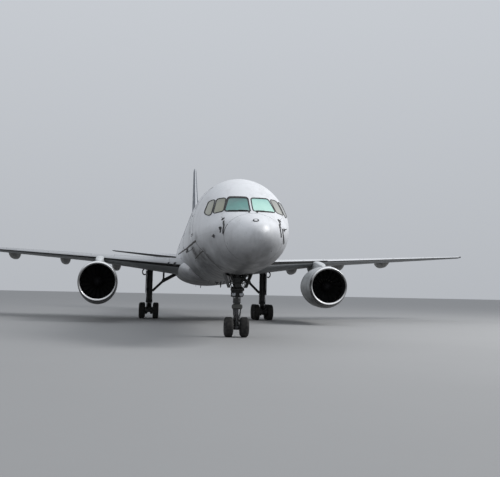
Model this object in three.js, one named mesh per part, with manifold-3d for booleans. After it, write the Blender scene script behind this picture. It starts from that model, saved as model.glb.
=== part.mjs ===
// A twin-engine narrow-body airliner as a 1:2 model, parked on its gear with flaps and doors closed.
// Every size below is the full-size aircraft's, in millimetres, and the group at the end halves the whole.
// x runs to the aircraft's left, y aft from the tip of the nose, z up from the ground.
import * as THREE from "three";
import { mergeVertices } from "three/addons/utils/BufferGeometryUtils.js";
import Module from "manifold-3d";

const wasm = await Module();
wasm.setup();

// Driving dimensions
const MODEL_SCALE = 0.5;
const LENGTH = 47320;
const HEIGHT = 13560;
const HALF_SPAN = 19025;
const TAIL_HALF_SPAN = 7605;
const SEAM = 0.6; // between fixed pieces that meet
const RUNNING_GAP = 14; // round pieces that move
const COVE_GAP = 18; // around the round nose of a hinged surface
const PIN_GAP = 0.8; // between a pin and its bore

// Reach of the blocks that cut pieces off
const FAR_AFT = 4000;
const FAR_OUT = 4000;
const BELOW_ALL = -5000;
const ABOVE_ALL = 20000;

const ROUND = 28; // sides of a fuselage section
const NACELLE_SIDES = 20;
const FAIRING_SIDES = 8;
const TURNED = 12; // sides of a small round piece
const TYRE_SIDES = 18; // one flat of these stands on the ground

// Fuselage
const RADOME_END = 1150;
const NOSE_END = 7000;
const BARREL_END = 30000;
const TAIL_END = 45500;
const WINDOW_DEPTH = 45;
// the cockpit's windows from the side, [y, z]
const WINDOW_BAND = [[1200, 4430], [3300, 4430], [3950, 4540], [3780, 4900], [2650, 4965], [1200, 4965]];
// columns: station, half width, crown z, keel z, z of the greatest width
const BODY_SECTIONS = [
  [0, 90, 3550, 3370, 3460],
  [60, 250, 3710, 3210, 3460],
  [250, 480, 3930, 3000, 3470],
  [600, 720, 4100, 2825, 3500],
  [1000, 910, 4240, 2700, 3550],
  [1800, 1190, 4460, 2550, 3660],
  [2600, 1400, 5010, 2475, 3800],
  [3200, 1530, 5390, 2445, 3900],
  [3900, 1650, 5710, 2420, 4000],
  [4700, 1745, 5950, 2400, 4100],
  [5600, 1815, 6130, 2375, 4190],
  [7000, 1865, 6235, 2320, 4250],
  [8600, 1880, 6250, 2240, 4250],
  [29000, 1880, 6250, 2240, 4250],
  [32000, 1850, 6250, 2330, 4300],
  [35000, 1720, 6250, 2650, 4450],
  [38000, 1480, 6235, 3120, 4660],
  [41000, 1150, 6130, 3760, 4900],
  [44000, 720, 5880, 4450, 5130],
  [45500, 480, 5700, 4790, 5230],
  [46960, 200, 5470, 5090, 5280],
];

// Belly fairing under the wing; columns as above
const FAIRING_SECTIONS = [
  [15400, 1500, 3300, 2330, 2900],
  [16600, 1820, 3500, 2230, 2950],
  [18200, 1950, 3700, 2170, 3000],
  [20500, 2010, 3800, 2140, 3000],
  [24800, 2010, 3700, 2140, 3000],
  [27000, 1930, 3500, 2190, 3000],
  [29200, 1500, 3300, 2300, 2900],
];

// Lifting surfaces
const SECTION_STEPS = 8; // points along each side of an aerofoil
const EDGE_THICKNESS = 16; // of a trailing edge
// columns: span x, leading edge station, chord, leading edge z, incidence in degrees, thickness over chord
const WING_SECTIONS = [
  [1500, 18250, 7500, 3220, 2.8, 0.13],
  [7400, 21385, 5015, 3740, 1.0, 0.092],
  [HALF_SPAN - 250, 27430, 1800, 4630, 0, 0.085],
  [HALF_SPAN, 27800, 1400, 4650, 0, 0.06],
];
const STABILISER_SECTIONS = [
  [300, 40420, 5000, 4720, 0, 0.11],
  [TAIL_HALF_SPAN - 150, 45200, 1780, 5520, 0, 0.09],
  [TAIL_HALF_SPAN, 45420, 1500, 5540, 0, 0.06],
];
// the fin's span is its height above the ground, and its leading edge z column is its sideways place
const FIN_SECTIONS = [
  [5700, 37900, 7250, 0, 0, 0.115],
  [HEIGHT - 200, 44540, LENGTH - 60 - 44540, 0, 0, 0.09],
  [HEIGHT, 44900, LENGTH - 44900, 0, 0, 0.06],
];
const DORSAL_FILLET = {
  halfWidth: 90,
  side: [[34600, 6100], [40400, 6100], [40400, 7900], [39800, 7100]], // [y, z]
};

// Hinged surfaces: span from and to, hinge as a share of the chord, room that a swing takes at the ends
const AILERON = { from: 14050, to: 17700, hinge: 0.74, endGap: 46 };
const ELEVATOR = { from: 985, to: 7330, hinge: 0.7, endGap: 70 };
const RUDDER = { from: 6700, to: 13100, hinge: 0.68, endGap: 90 };
const HINGE_PIN = { radius: 16, length: 70, root: 150 };
const TUBE_END = 400; // length that the cutter for a hinged surface's round nose goes past its ends
// Flaps are stowed: span from and to, front edge as a share of the chord
const FLAPS = {
  inboard: { from: 2350, to: 7050, front: 0.75 },
  outboard: { from: 7450, to: 13950, front: 0.74 },
};
const FLAP_FAIRING = {
  spans: [5900, 9300, 12750], length: 3400, ahead: 0.68, halfWidth: 300, depth: 530, top: 110, crown: 90,
  // columns: share of the length, share of the width and depth
  shape: [[0, 0.12], [0.15, 0.55], [0.4, 0.95], [0.65, 1], [0.85, 0.7], [1, 0.1]],
};
const WING = withRows(WING_SECTIONS, AILERON);
const STABILISER = withRows(STABILISER_SECTIONS, ELEVATOR);
const FIN = withRows(FIN_SECTIONS, RUDDER);
const JACK_PAD = { span: 5250, chordShare: 0.42, radius: 90, depth: 60 };

// Engines: radii along the nacelle, measured aft from the lip of the intake.
// x, station and z are the lip's middle; the axis points in towards the nose by the toe-in, in degrees.
const ENGINE = { x: 6284, station: 16450, z: 2180, toeIn: 3.5 };
const DUCT_RADIUS = 945;
const LIP_END = 250;
const INTAKE_END = 1250;
const FAN_COWL_END = 3100;
const SLEEVE_END = 4560;
const NOZZLE = { start: 4480, end: 5850 };
// the nacelle's outside, fuller below than at its sides; columns: station, side, top and bottom radius
const NACELLE_SECTIONS = [
  [0, 985, 995, 1010],
  [40, 1010, 1035, 1065],
  [150, 1030, 1070, 1125],
  [400, 1045, 1105, 1185],
  [1000, 1060, 1135, 1230],
  [1900, 1070, 1145, 1235],
  [3100, 1070, 1140, 1200],
  [3800, 1045, 1095, 1120],
  [SLEEVE_END, 965, 975, 975],
];
// The hollows down the nacelle, as [radius, y]
const INTAKE_HOLLOW = [
  [0, -10], [985, -10], [950, 15], [925, 80], [925, 150], [DUCT_RADIUS, LIP_END + 5],
  [0, LIP_END + 5],
];
const FAN_HOLLOW = [
  [0, LIP_END - 5], [DUCT_RADIUS, LIP_END - 5], [DUCT_RADIUS, INTAKE_END], [960, 1450],
  [900, FAN_COWL_END + 5], [0, FAN_COWL_END + 5],
];
const SLEEVE_HOLLOW = [
  [0, FAN_COWL_END], [900, FAN_COWL_END], [900, 3800], [945, 3900],
  [945, SLEEVE_END + 5], [0, SLEEVE_END + 5],
];
const NOZZLE_SHELL = [
  [925, NOZZLE.start], [895, 4900], [745, NOZZLE.end], [720, NOZZLE.end], [870, 4900],
  [885, NOZZLE.start], [925, NOZZLE.start],
];
const SLEEVE_RAIL = { length: 750, inner: 930, outer: 975, proud: 20 };
const FAN = {
  station: 1010, depth: 300, bladeCount: 18, bladeHalf: 13, pitch: 38, tipRadius: 905, hubRadius: 300,
  spinner: [[0, -520], [130, -450], [230, -220]], // [radius, y ahead of the blades]
};
const CORE = {
  start: 1420, bend: 3400, tail: 4400, end: 5000, tip: 5450, radius: 480, tailRadius: 350, endRadius: 310,
  shaft: 110, shaftEnd: 1700, struts: 6, strutHalf: 30,
};
const PYLON_HALF_WIDTH = 215;
const PYLON_NOSE = { halfWidth: 20, length: 900 };
const PYLON_RUN_OUT = { halfWidth: 25, length: 1900 };
const PYLON_TAIL = 8200;
// the pylon from the side, y aft of the intake's front and z above the engine's axis
const PYLON_SIDE = [
  [1650, 300], [1650, 1120], [2000, 1255], [3300, 1480], [4500, 1575], [5000, 1500], [PYLON_TAIL, 1400],
  [PYLON_TAIL, 1180], [5900, 800], [5500, 640], [4400, 300],
];

// Landing gear
const NOSE_GEAR = { station: 5770, halfTrack: 305, tyre: 394, width: 330, rim: 165, axle: 45 };
const NOSE_LEG = {
  legEnd: 1520, legTop: 2660, legRadius: 150, trunnionRadius: 90,
  collarRadius: 150, collarLength: 190, pistonRadius: 80, pinRadius: 58, pinLength: 240,
  brace: { foot: 1960, aside: 60, inset: 80, radius: 42, tubeRadius: 45 },
  light: { height: 1645, aside: 145, front: -245, back: -130, radius: 95, stem: 34 },
  actuator: { height: 1840, reach: 250, radius: 68, front: -115 },
  towLug: { half: 55, front: -190, back: -40, height: 45 },
  links: { near: 40, far: 300, low: 760, high: 960 },
};
const NOSE_WELL = { halfWidth: 500, front: 5120, back: 6250, roof: 2820 };
// a nose gear door from the front, [x, z]: it hangs from the well's edge and leans in
const NOSE_DOOR = [[507, 2540], [535, 2540], [510, 2360], [330, 1900], [302, 1900], [482, 2360]];
const NOSE_JACK_PAD = { station: 6700, radius: 80, depth: 50 };
const LEG_CLEAR = 2.6; // between a leg and what is clamped to it
const TORQUE_LINK = { half: 60, thick: 40 };
const AXLE_SLEEVE = 45; // wall of the tube around an axle
const HUB_INSET = 50; // of the hub's face in the tyre's
const SHOULDER = 75; // from the tyre's side to its tread
const MAIN_GEAR = {
  station: 24060, x: 3660, halfBase: 571, halfTrack: 432, tyre: 508, width: 368, rim: 250, axle: 60,
  beamRadius: 85,
};
const MAIN_LEG = {
  cylinderEnd: 1150, radius: 190, pistonRadius: 130, pin: 45,
  top: 3400, // inside the wing
  lug: { inner: 92, outer: 150, half: 95, foot: 80, head: 90 },
  links: { near: -60, far: -330, low: 200, high: 520 }, // heights above the crotch
  brace: { foot: 1560, knee: 2420, head: 2900, kneeIn: 880, headIn: 1760, lower: 78, upper: 108 },
  knee: { half: 90, radius: 120, linkRadius: 60 },
  door: { offset: 222, half: 290, bottom: 1600, top: 3200, thick: 30, arms: [1850, 2900], armRadius: 35 },
};
const flatHeight = (radius) => radius * Math.cos(Math.PI / TYRE_SIDES);

// Cargo doors on the aircraft's right side: stations, and edges in degrees below the widest line
const DOOR_THICKNESS = 110;
const DOOR_HINGE = { proud: 24, below: 0.9, knuckle: 46, pin: 16, lugLength: 90, innerGap: 60 };
const CARGO_DOORS = {
  forward: { from: 9900, to: 11300, head: 18.5, sill: 59 },
  aft: { from: 31000, to: 32400, head: 16.5, sill: 56 },
};

// Paint and metal
const finish = (color, roughness, metalness = 0) =>
  new THREE.MeshStandardMaterial({ color, roughness, metalness });
const WHITE = finish(0xdcdee2, 0.42);
const PALE_GREY = finish(0xb9bcc0, 0.5);
const BARE_METAL = finish(0xc9ccd0, 0.25, 0.9);
const DARK_METAL = finish(0x3a3d42, 0.45, 0.7);
const GEAR_GREY = finish(0x2f3236, 0.6, 0.2);
const RUBBER = finish(0x17181a, 0.9);
const GLASS = finish(0x2f6f68, 0.08);

// Solids: three.js geometry into a closed manifold-3d body and back

function toSolid(source) {
  const bare = source.index ? source.toNonIndexed() : source.clone();
  for (const name of Object.keys(bare.attributes)) {
    if (name !== "position") bare.deleteAttribute(name);
  }
  const merged = mergeVertices(bare, 0.01);
  const points = merged.attributes.position.array;
  const corners = merged.index.array;
  const at = (i) => new THREE.Vector3().fromArray(points, 3 * i);
  const faces = [];
  let volume = 0;
  for (let i = 0; i < corners.length; i += 3) {
    const [a, b, c] = corners.slice(i, i + 3);
    if (a === b || b === c || c === a) continue;
    faces.push([a, b, c]);
    volume += at(a).dot(at(b).cross(at(c)));
  }
  const outward = faces.map(([a, b, c]) => (volume < 0 ? [a, c, b] : [a, b, c]));
  const triVerts = new Uint32Array(outward.flat());
  return new wasm.Manifold(new wasm.Mesh({ numProp: 3, vertProperties: points, triVerts }));
}

function toGeometry(body) {
  const { numProp, numVert, vertProperties, triVerts } = body.getMesh();
  const points = new Float32Array(numVert * 3);
  for (let i = 0; i < numVert; i++) {
    points.set(vertProperties.subarray(i * numProp, i * numProp + 3), 3 * i);
  }
  return new THREE.BufferGeometry()
    .setAttribute("position", new THREE.BufferAttribute(points, 3))
    .setIndex(new THREE.BufferAttribute(triVerts, 1));
}

const moved = (body, matrix) => toSolid(toGeometry(body).applyMatrix4(matrix));
const shifted = (body, x, y, z) => moved(body, new THREE.Matrix4().makeTranslation(x, y, z));
const mirrored = (body) => moved(body, new THREE.Matrix4().makeScale(-1, 1, 1));
const joined = (...bodies) => bodies.reduce((whole, body) => whole.add(body));
const cut = (body, ...tools) => tools.reduce((whole, tool) => whole.subtract(tool), body);

// The largest piece of a body that a cut has left in several.
function mainPiece(body) {
  return body.decompose().reduce((best, piece) => (piece.volume() > best.volume() ? piece : best));
}

// Skin over closed rings of points, all with the same count, with flat ends.
function loft(rings) {
  const count = rings[0].length;
  const points = rings.flat();
  const middle = (ring) =>
    ring.reduce((sum, p) => sum.add(p), new THREE.Vector3()).divideScalar(count);
  points.push(middle(rings[0]), middle(rings.at(-1)));
  const faces = [];
  for (let r = 0; r + 1 < rings.length; r++) {
    for (let i = 0; i < count; i++) {
      const j = (i + 1) % count;
      const [a, b] = [r * count + i, r * count + j];
      const [c, d] = [a + count, b + count];
      // the shorter diagonal, so that both sides of a body match
      const across = points[a].distanceTo(points[d]) < points[b].distanceTo(points[c]);
      faces.push(...(across ? [a, b, d, a, d, c] : [a, b, c, b, d, c]));
    }
  }
  const last = (rings.length - 1) * count;
  for (let i = 0; i < count; i++) {
    const j = (i + 1) % count;
    faces.push(j, i, points.length - 2, last + i, last + j, points.length - 1);
  }
  return toSolid(new THREE.BufferGeometry().setFromPoints(points).setIndex(faces));
}

const vec = (x, y, z) => new THREE.Vector3(x, y, z);

function box(x0, x1, y0, y1, z0, z1) {
  const block = new THREE.BoxGeometry(x1 - x0, y1 - y0, z1 - z0);
  return toSolid(block.translate((x0 + x1) / 2, (y0 + y1) / 2, (z0 + z1) / 2));
}

// A round bar from one point to another, which may taper.
function bar(from, to, radius, endRadius = radius, sides = TURNED, turn = Math.PI / sides) {
  const along = to.clone().sub(from);
  const rod = new THREE.CylinderGeometry(endRadius, radius, along.length(), sides).rotateY(turn);
  const aim = new THREE.Quaternion().setFromUnitVectors(vec(0, 1, 0), along.clone().normalize());
  const middle = from.clone().add(to).multiplyScalar(0.5);
  return toSolid(rod.applyMatrix4(new THREE.Matrix4().compose(middle, aim, vec(1, 1, 1))));
}

// The hole that a bar of that radius turns in, its flats opposite the bar's corners.
function bore(from, to, radius) {
  const corner = (radius + PIN_GAP) / Math.cos(Math.PI / TURNED);
  return bar(from, to, corner, corner, TURNED, 0);
}

// A profile of [radius, y] turned about the y axis.
function turned(profile, sides = NACELLE_SIDES) {
  const points = profile.map(([radius, y]) => new THREE.Vector2(radius, y));
  return toSolid(new THREE.LatheGeometry(points, sides).rotateY(Math.PI / sides));
}

// An outline of [x, y] raised from z0 to z1.
function planBlock(outline, z0 = BELOW_ALL, z1 = ABOVE_ALL) {
  const shape = new THREE.Shape(outline.map(([x, y]) => new THREE.Vector2(x, y)));
  const block = new THREE.ExtrudeGeometry(shape, { depth: z1 - z0, bevelEnabled: false });
  return toSolid(block.translate(0, 0, z0));
}

// An outline of [y, z] spread from x0 to x1.
function sideBlock(outline, x0, x1) {
  const shape = new THREE.Shape(outline.map(([y, z]) => new THREE.Vector2(y, z)));
  const block = new THREE.ExtrudeGeometry(shape, { depth: x1 - x0, bevelEnabled: false });
  const toSide = new THREE.Matrix4().makeBasis(vec(0, 1, 0), vec(0, 0, 1), vec(1, 0, 0));
  return toSolid(block.applyMatrix4(toSide).translate(x0, 0, 0));
}

// Value of a table's columns at a place in its first column.
function sample(table, at) {
  const next = Math.max(1, table.findIndex((row) => row[0] >= at));
  const [low, high] = [table[next - 1], table[next]];
  const share = (at - low[0]) / (high[0] - low[0]);
  return low.map((value, i) => value + (high[i] - value) * share);
}

// Fuselage

function bodyRing([station, halfWidth, crown, keel, waist], grow) {
  return Array.from({ length: ROUND }, (_, i) => {
    const turn = (2 * Math.PI * (i + 0.5)) / ROUND;
    const [c, s] = [Math.cos(turn), Math.sin(turn)];
    const reach = s > 0 ? crown - waist : waist - keel;
    return vec((halfWidth + grow) * c, station, waist + (reach + grow) * s);
  });
}

function bodyPart(table, from, to, grow = 0) {
  const inside = table.filter(([station]) => station > from && station < to);
  const rows = [sample(table, from), ...inside, sample(table, to)];
  return loft(rows.map((row) => bodyRing(row, grow)));
}

// Lifting surfaces

// Half the thickness of an aerofoil along its chord, for a chord and a thickness of one.
function halfThickness(share) {
  const [root, ...powers] = [0.2969, -0.126, -0.3516, 0.2843, -0.1036];
  return 5 * powers.reduce((sum, factor, i) => sum + factor * share ** (i + 1), root * Math.sqrt(share));
}

// Height of a section's middle line over its chord line, as a share of the chord.
const camberAt = (share) => 0.05 * share * (1 - share);

// A point of a section's upper skin (side 1) or lower skin (side -1).
function skinPoint([span, edge, chord, z, incidence, thickness], share, side, grow = 0) {
  const camber = z === 0 ? 0 : camberAt(share); // the fin has none
  const raw = camber + side * thickness * halfThickness(share);
  const over = raw * chord + side * (EDGE_THICKNESS * share * 0.5 + grow);
  const tilt = THREE.MathUtils.degToRad(incidence);
  const along = share * (chord + 2 * grow) - grow;
  return vec(span, edge + along * Math.cos(tilt), z + over - along * Math.sin(tilt));
}

function surface(table, grow = 0) {
  const steps = Array.from({ length: SECTION_STEPS - 1 }, (_, i) => (i + 1) / (SECTION_STEPS - 1));
  const shares = steps.map((step) => (1 - Math.cos(Math.PI * step)) / 2);
  const rings = table.map((row) => [
    ...shares.toReversed().map((share) => skinPoint(row, share, 1, grow)),
    skinPoint(row, 0, 0, grow),
    ...shares.map((share) => skinPoint(row, share, -1, grow)),
  ]);
  return loft(rings);
}

// The middle of a section's thickness at a share of the chord, and half that thickness.
function hingePoint(table, span, share) {
  const row = sample(table, span);
  const [upper, lower] = [skinPoint(row, share, 1), skinPoint(row, share, -1)];
  return { centre: upper.clone().add(lower).multiplyScalar(0.5), half: (upper.z - lower.z) / 2 };
}

// A table with rows added at the ends of a hinged surface, where its thickness has to be exact.
function withRows(table, { from, to }) {
  const added = [from, to].map((span) => sample(table, span));
  return [...table, ...added].sort((first, second) => first[0] - second[0]);
}

// Cuts a hinged surface from the rear of a wing, fin or stabiliser, with a round nose, a cove and two pins.
function hinged(table, whole, { from, to, hinge, endGap }) {
  const [a, b] = [hingePoint(table, from, hinge), hingePoint(table, to, hinge)];
  const along = b.centre.clone().sub(a.centre).normalize();
  const at = (centre, by) => centre.clone().addScaledVector(along, by);
  const taper = ((a.half - b.half) / a.centre.distanceTo(b.centre)) * TUBE_END;
  const tube = (extra) => {
    const [wide, narrow] = [a.half + taper, b.half - taper].map((half) => half + extra);
    return bar(at(a.centre, -TUBE_END), at(b.centre, TUBE_END), wide, narrow, ROUND);
  };
  const rear = (gap) => {
    const slope = (b.centre.y - a.centre.y) / (to - from);
    const edge = (x) => a.centre.y + slope * (x - from);
    const [x0, x1] = [from - gap, to + gap];
    return planBlock([[x0, edge(x0)], [x1, edge(x1)], [x1, edge(x1) + FAR_AFT], [x0, edge(x0) + FAR_AFT]]);
  };
  const strip = (gap) => box(from - gap, to + gap, 0, LENGTH + FAR_AFT, BELOW_ALL, ABOVE_ALL);
  const { length, root, radius } = HINGE_PIN;
  const pins = (make, reach) =>
    joined(
      make(at(a.centre, -endGap - reach), at(a.centre, root), radius),
      make(at(b.centre, -root), at(b.centre, endGap + reach), radius),
    );
  const nose = tube(0).intersect(strip(0)).intersect(surface(table));
  const flap = joined(whole.intersect(rear(0)), nose, pins(bar, length));
  const hole = joined(rear(endGap), tube(COVE_GAP).intersect(strip(endGap)));
  return {
    fixed: cut(whole, hole, pins(bore, length + 5)),
    moving: flap,
    hinge: [a.centre, b.centre],
  };
}

function flapOutline(table, { from, to, front }, gap) {
  const edge = (span) => hingePoint(table, span, front).centre.y;
  return planBlock([
    [from - gap, edge(from) - gap],
    [to + gap, edge(to) - gap],
    [to + gap, edge(to) + FAR_AFT],
    [from - gap, edge(from) + FAR_AFT],
  ]);
}

// A boat-shaped fairing under the flaps, hung on the wing's lower skin.
function flapFairing(span) {
  const { length, ahead, halfWidth, depth, top, crown, shape } = FLAP_FAIRING;
  const rear = skinPoint(sample(WING, span), 1, -1);
  return loft(
    shape.map(([share, size]) =>
      Array.from({ length: FAIRING_SIDES }, (_, i) => {
        const turn = (2 * Math.PI * i) / FAIRING_SIDES;
        const [across, up] = [Math.cos(turn), Math.sin(turn)];
        const rise = up * (up < 0 ? depth * size : crown);
        return vec(span + halfWidth * size * across, rear.y + (share - ahead) * length, rear.z + top + rise);
      }),
    ),
  );
}

function buildWing() {
  const body = bodyPart(BODY_SECTIONS, 14000, 30000, SEAM);
  const whole = cut(surface(WING), body);
  const { fixed, moving, hinge } = hinged(WING, whole, AILERON);
  const flaps = {};
  let wing = fixed;
  for (const [name, flap] of Object.entries(FLAPS)) {
    flaps[name] = mainPiece(wing.intersect(flapOutline(WING, flap, 0)));
    wing = cut(wing, flapOutline(WING, flap, SEAM));
  }
  const skin = surface(WING, SEAM);
  const rooms = Object.values(FLAPS).map((flap) => skin.intersect(flapOutline(WING, flap, SEAM)));
  const fairings = FLAP_FAIRING.spans.map((span) => cut(flapFairing(span), ...rooms));
  const pad = wingJackPad();
  return { wing: mainPiece(joined(wing, pad, ...fairings)), flaps, aileron: moving, hinge };
}

function wingJackPad() {
  const { span, chordShare, radius, depth } = JACK_PAD;
  const seat = skinPoint(sample(WING, span), chordShare, -1);
  return bar(vec(seat.x, seat.y, seat.z - depth), vec(seat.x, seat.y, seat.z + 120), radius);
}

// The fin and rudder are made lying down like a wing and then stood up.
const STAND_UP = new THREE.Matrix4().makeBasis(vec(0, 0, 1), vec(0, 1, 0), vec(-1, 0, 0));
const standUp = (body) => moved(body, STAND_UP);

function dorsalFillet() {
  const { side, halfWidth } = DORSAL_FILLET;
  return sideBlock(side, -halfWidth, halfWidth);
}

// Engine pieces, about their own axis, y aft from the front of the intake

function nacelleRing([station, side, top, bottom]) {
  return Array.from({ length: NACELLE_SIDES }, (_, i) => {
    const turn = (2 * Math.PI * (i + 0.5)) / NACELLE_SIDES;
    const [c, s] = [Math.cos(turn), Math.sin(turn)];
    return vec(side * c, station, (s > 0 ? top : bottom) * s);
  });
}

function nacellePart(from, to) {
  const inside = NACELLE_SECTIONS.filter(([station]) => station > from && station < to);
  const rows = [sample(NACELLE_SECTIONS, from), ...inside, sample(NACELLE_SECTIONS, to)];
  return loft(rows.map(nacelleRing));
}

// The core is one plain block with its tail cone.
function coreBlock(grow = 0) {
  const { start, bend, tail, end, tip, radius, tailRadius, endRadius } = CORE;
  return turned([
    [0, start - grow], [radius + grow, start - grow], [radius + grow, bend], [tailRadius + grow, tail],
    [endRadius + grow, end], [0, tip],
  ]);
}

function coreWithVanes() {
  const { start, radius, shaft, shaftEnd, struts, strutHalf } = CORE;
  const vane = (i) => {
    const turn = new THREE.Matrix4().makeRotationY((2 * Math.PI * (i + 0.5)) / struts);
    return moved(box(-strutHalf, strutHalf, start + 30, start + 280, radius - 60, 1100), turn);
  };
  const vanes = joined(...Array.from({ length: struts }, (_, i) => vane(i)));
  const reach = turned([[0, start], [DUCT_RADIUS - SEAM, start], [DUCT_RADIUS - SEAM, 2500], [0, 2500]]);
  const bearing = bore(vec(0, start - 10, 0), vec(0, shaftEnd + 20, 0), shaft);
  return cut(joined(coreBlock(), vanes.intersect(reach)), bearing);
}

function fanRotor() {
  const { station, depth, bladeCount, bladeHalf, pitch, tipRadius, hubRadius, spinner } = FAN;
  const end = station + depth;
  const hub = turned([
    ...spinner.map(([radius, y]) => [radius, station + y]), [hubRadius, station], [hubRadius, end],
    [CORE.shaft, end], [CORE.shaft, CORE.shaftEnd], [0, CORE.shaftEnd],
  ]);
  const plate = new THREE.Matrix4().makeRotationZ(THREE.MathUtils.degToRad(pitch));
  const chord = 0.55 * depth;
  const blade = (i) => {
    const place = new THREE.Matrix4().makeRotationY((2 * Math.PI * i) / bladeCount);
    place.multiply(new THREE.Matrix4().makeTranslation(0, station + depth / 2, 0)).multiply(plate);
    return moved(box(-bladeHalf, bladeHalf, -chord, chord, hubRadius - 30, tipRadius), place);
  };
  const blades = joined(...Array.from({ length: bladeCount }, (_, i) => blade(i)));
  return joined(hub, blades);
}

// The pylon, from the core up into the wing.
function pylonBlock(grow = 0) {
  const outline = grownOutline(PYLON_SIDE, grow);
  const half = PYLON_HALF_WIDTH + grow;
  const front = PYLON_SIDE[0][0];
  const edge = [
    [PYLON_NOSE.halfWidth + grow, front - grow],
    [half, front + PYLON_NOSE.length],
    [half, PYLON_TAIL - PYLON_RUN_OUT.length],
    [PYLON_RUN_OUT.halfWidth + grow, PYLON_TAIL + grow],
  ];
  const side = (sign) => edge.map(([out, y]) => [sign * out, y]);
  const plan = [...side(1), ...side(-1).reverse()];
  return sideBlock(outline, -half, half).intersect(planBlock(plan));
}

const toeIn = (side) => new THREE.Matrix4().makeRotationZ(-side * THREE.MathUtils.degToRad(ENGINE.toeIn));

// The left pylon in its place under the wing.
function buildPylon() {
  const { x, station, z } = ENGINE;
  const block = moved(cut(pylonBlock(), coreBlock(SEAM)), toeIn(1));
  return mainPiece(cut(shifted(block, x, station, z), surface(WING, SEAM)));
}

// The nacelle's rings are open at the top where the pylon comes through.
const underPylon = (ring, gap) => cut(ring, pylonBlock(gap));

function buildEngine() {
  const slot = PYLON_HALF_WIDTH + RUNNING_GAP;
  const sleeveFront = FAN_COWL_END + RUNNING_GAP;
  // the sleeve slides on two rails, one along each side of the pylon
  const { length, inner, outer, proud } = SLEEVE_RAIL;
  const rails = [-1, 1].map((side) => {
    const [near, far] = [side * (PYLON_HALF_WIDTH + PIN_GAP), side * (slot + proud)];
    return box(Math.min(near, far), Math.max(near, far), sleeveFront, sleeveFront + length, inner, outer);
  });
  const sleeve = cut(nacellePart(sleeveFront, SLEEVE_END), turned(SLEEVE_HOLLOW));
  const slotAbove = box(-slot, slot, 0, PYLON_TAIL, CORE.radius, FAR_OUT);
  return {
    intake_lip: cut(nacellePart(0, LIP_END - SEAM), turned(INTAKE_HOLLOW)),
    fan_cowl: underPylon(cut(nacellePart(LIP_END, FAN_COWL_END), turned(FAN_HOLLOW)), SEAM),
    reverser_sleeve: joined(cut(sleeve, slotAbove), ...rails),
    exhaust_nozzle: underPylon(turned(NOZZLE_SHELL), SEAM),
    core: coreWithVanes(),
    fan: fanRotor(),
  };
}

// Landing gear

// Two tyred wheels and their axle, about the middle of the axle, which lies along x.
function wheelPair({ halfTrack, tyre, width, rim, axle }) {
  const [inner, outer] = [halfTrack - width / 2, halfTrack + width / 2];
  const sidewall = (rim + tyre) / 2 + 25;
  // columns: radius, distance from the middle of the axle
  const half = [
    [axle, inner + HUB_INSET], [rim * 0.8, inner + HUB_INSET], [rim, inner + 12], [sidewall, inner],
    [tyre, inner + SHOULDER], [tyre, outer - SHOULDER], [sidewall, outer], [rim, outer - 12],
    [rim * 0.8, outer - HUB_INSET], [0, outer - HUB_INSET],
  ];
  const other = half.map(([radius, x]) => [radius, -x]).reverse();
  const spun = turned([...other, ...half], TYRE_SIDES);
  return moved(spun, new THREE.Matrix4().makeRotationZ(-Math.PI / 2));
}

// How far an axle's tube goes out: just clear of the wheels.
const axleReach = ({ halfTrack, width }) => halfTrack - width / 2 + HUB_INSET - RUNNING_GAP;
const acrossBar = (x0, x1, y, z, radius) => bar(vec(x0, y, z), vec(x1, y, z), radius);
const acrossBore = (x0, x1, y, z, radius) => bore(vec(x0, y, z), vec(x1, y, z), radius);
const uprightBar = (x, y, z0, z1, radius) => bar(vec(x, y, z0), vec(x, y, z1), radius);

// Two flat arms beside a leg and the bar that joins them; near, far are [y], low and high are [z].
function torqueLinks(x, y, { near, far, low, high }, base = 0) {
  const { half, thick } = TORQUE_LINK;
  const [front, back] = [y + Math.min(near, far), y + Math.max(near, far)];
  const post = far > near ? back - thick : front;
  const [bottom, top] = [base + low, base + high];
  return joined(
    box(x - half, x + half, front, back, bottom, bottom + thick),
    box(x - half, x + half, front, back, top, top + thick),
    box(x - half, x + half, post, post + thick, bottom, top + thick),
  );
}

// The half of the nose gear that turns with the wheels.
function noseSteering() {
  const { station: y, tyre, axle } = NOSE_GEAR;
  const { legEnd, pinRadius, pinLength, pistonRadius, collarRadius, collarLength, towLug, links } = NOSE_LEG;
  const z = flatHeight(tyre);
  const reach = axleReach(NOSE_GEAR);
  const top = legEnd - RUNNING_GAP;
  const { half, front, back, height } = towLug;
  const whole = joined(
    uprightBar(0, y, z, top, pistonRadius),
    uprightBar(0, y, top - collarLength, top, collarRadius),
    uprightBar(0, y, top - 10, legEnd + pinLength, pinRadius),
    acrossBar(-reach, reach, y, z, axle + AXLE_SLEEVE),
    box(-half, half, y + front, y + back, z - height, z + height),
    torqueLinks(0, y, links),
  );
  return cut(whole, acrossBore(-reach - 10, reach + 10, y, z, axle));
}

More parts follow.
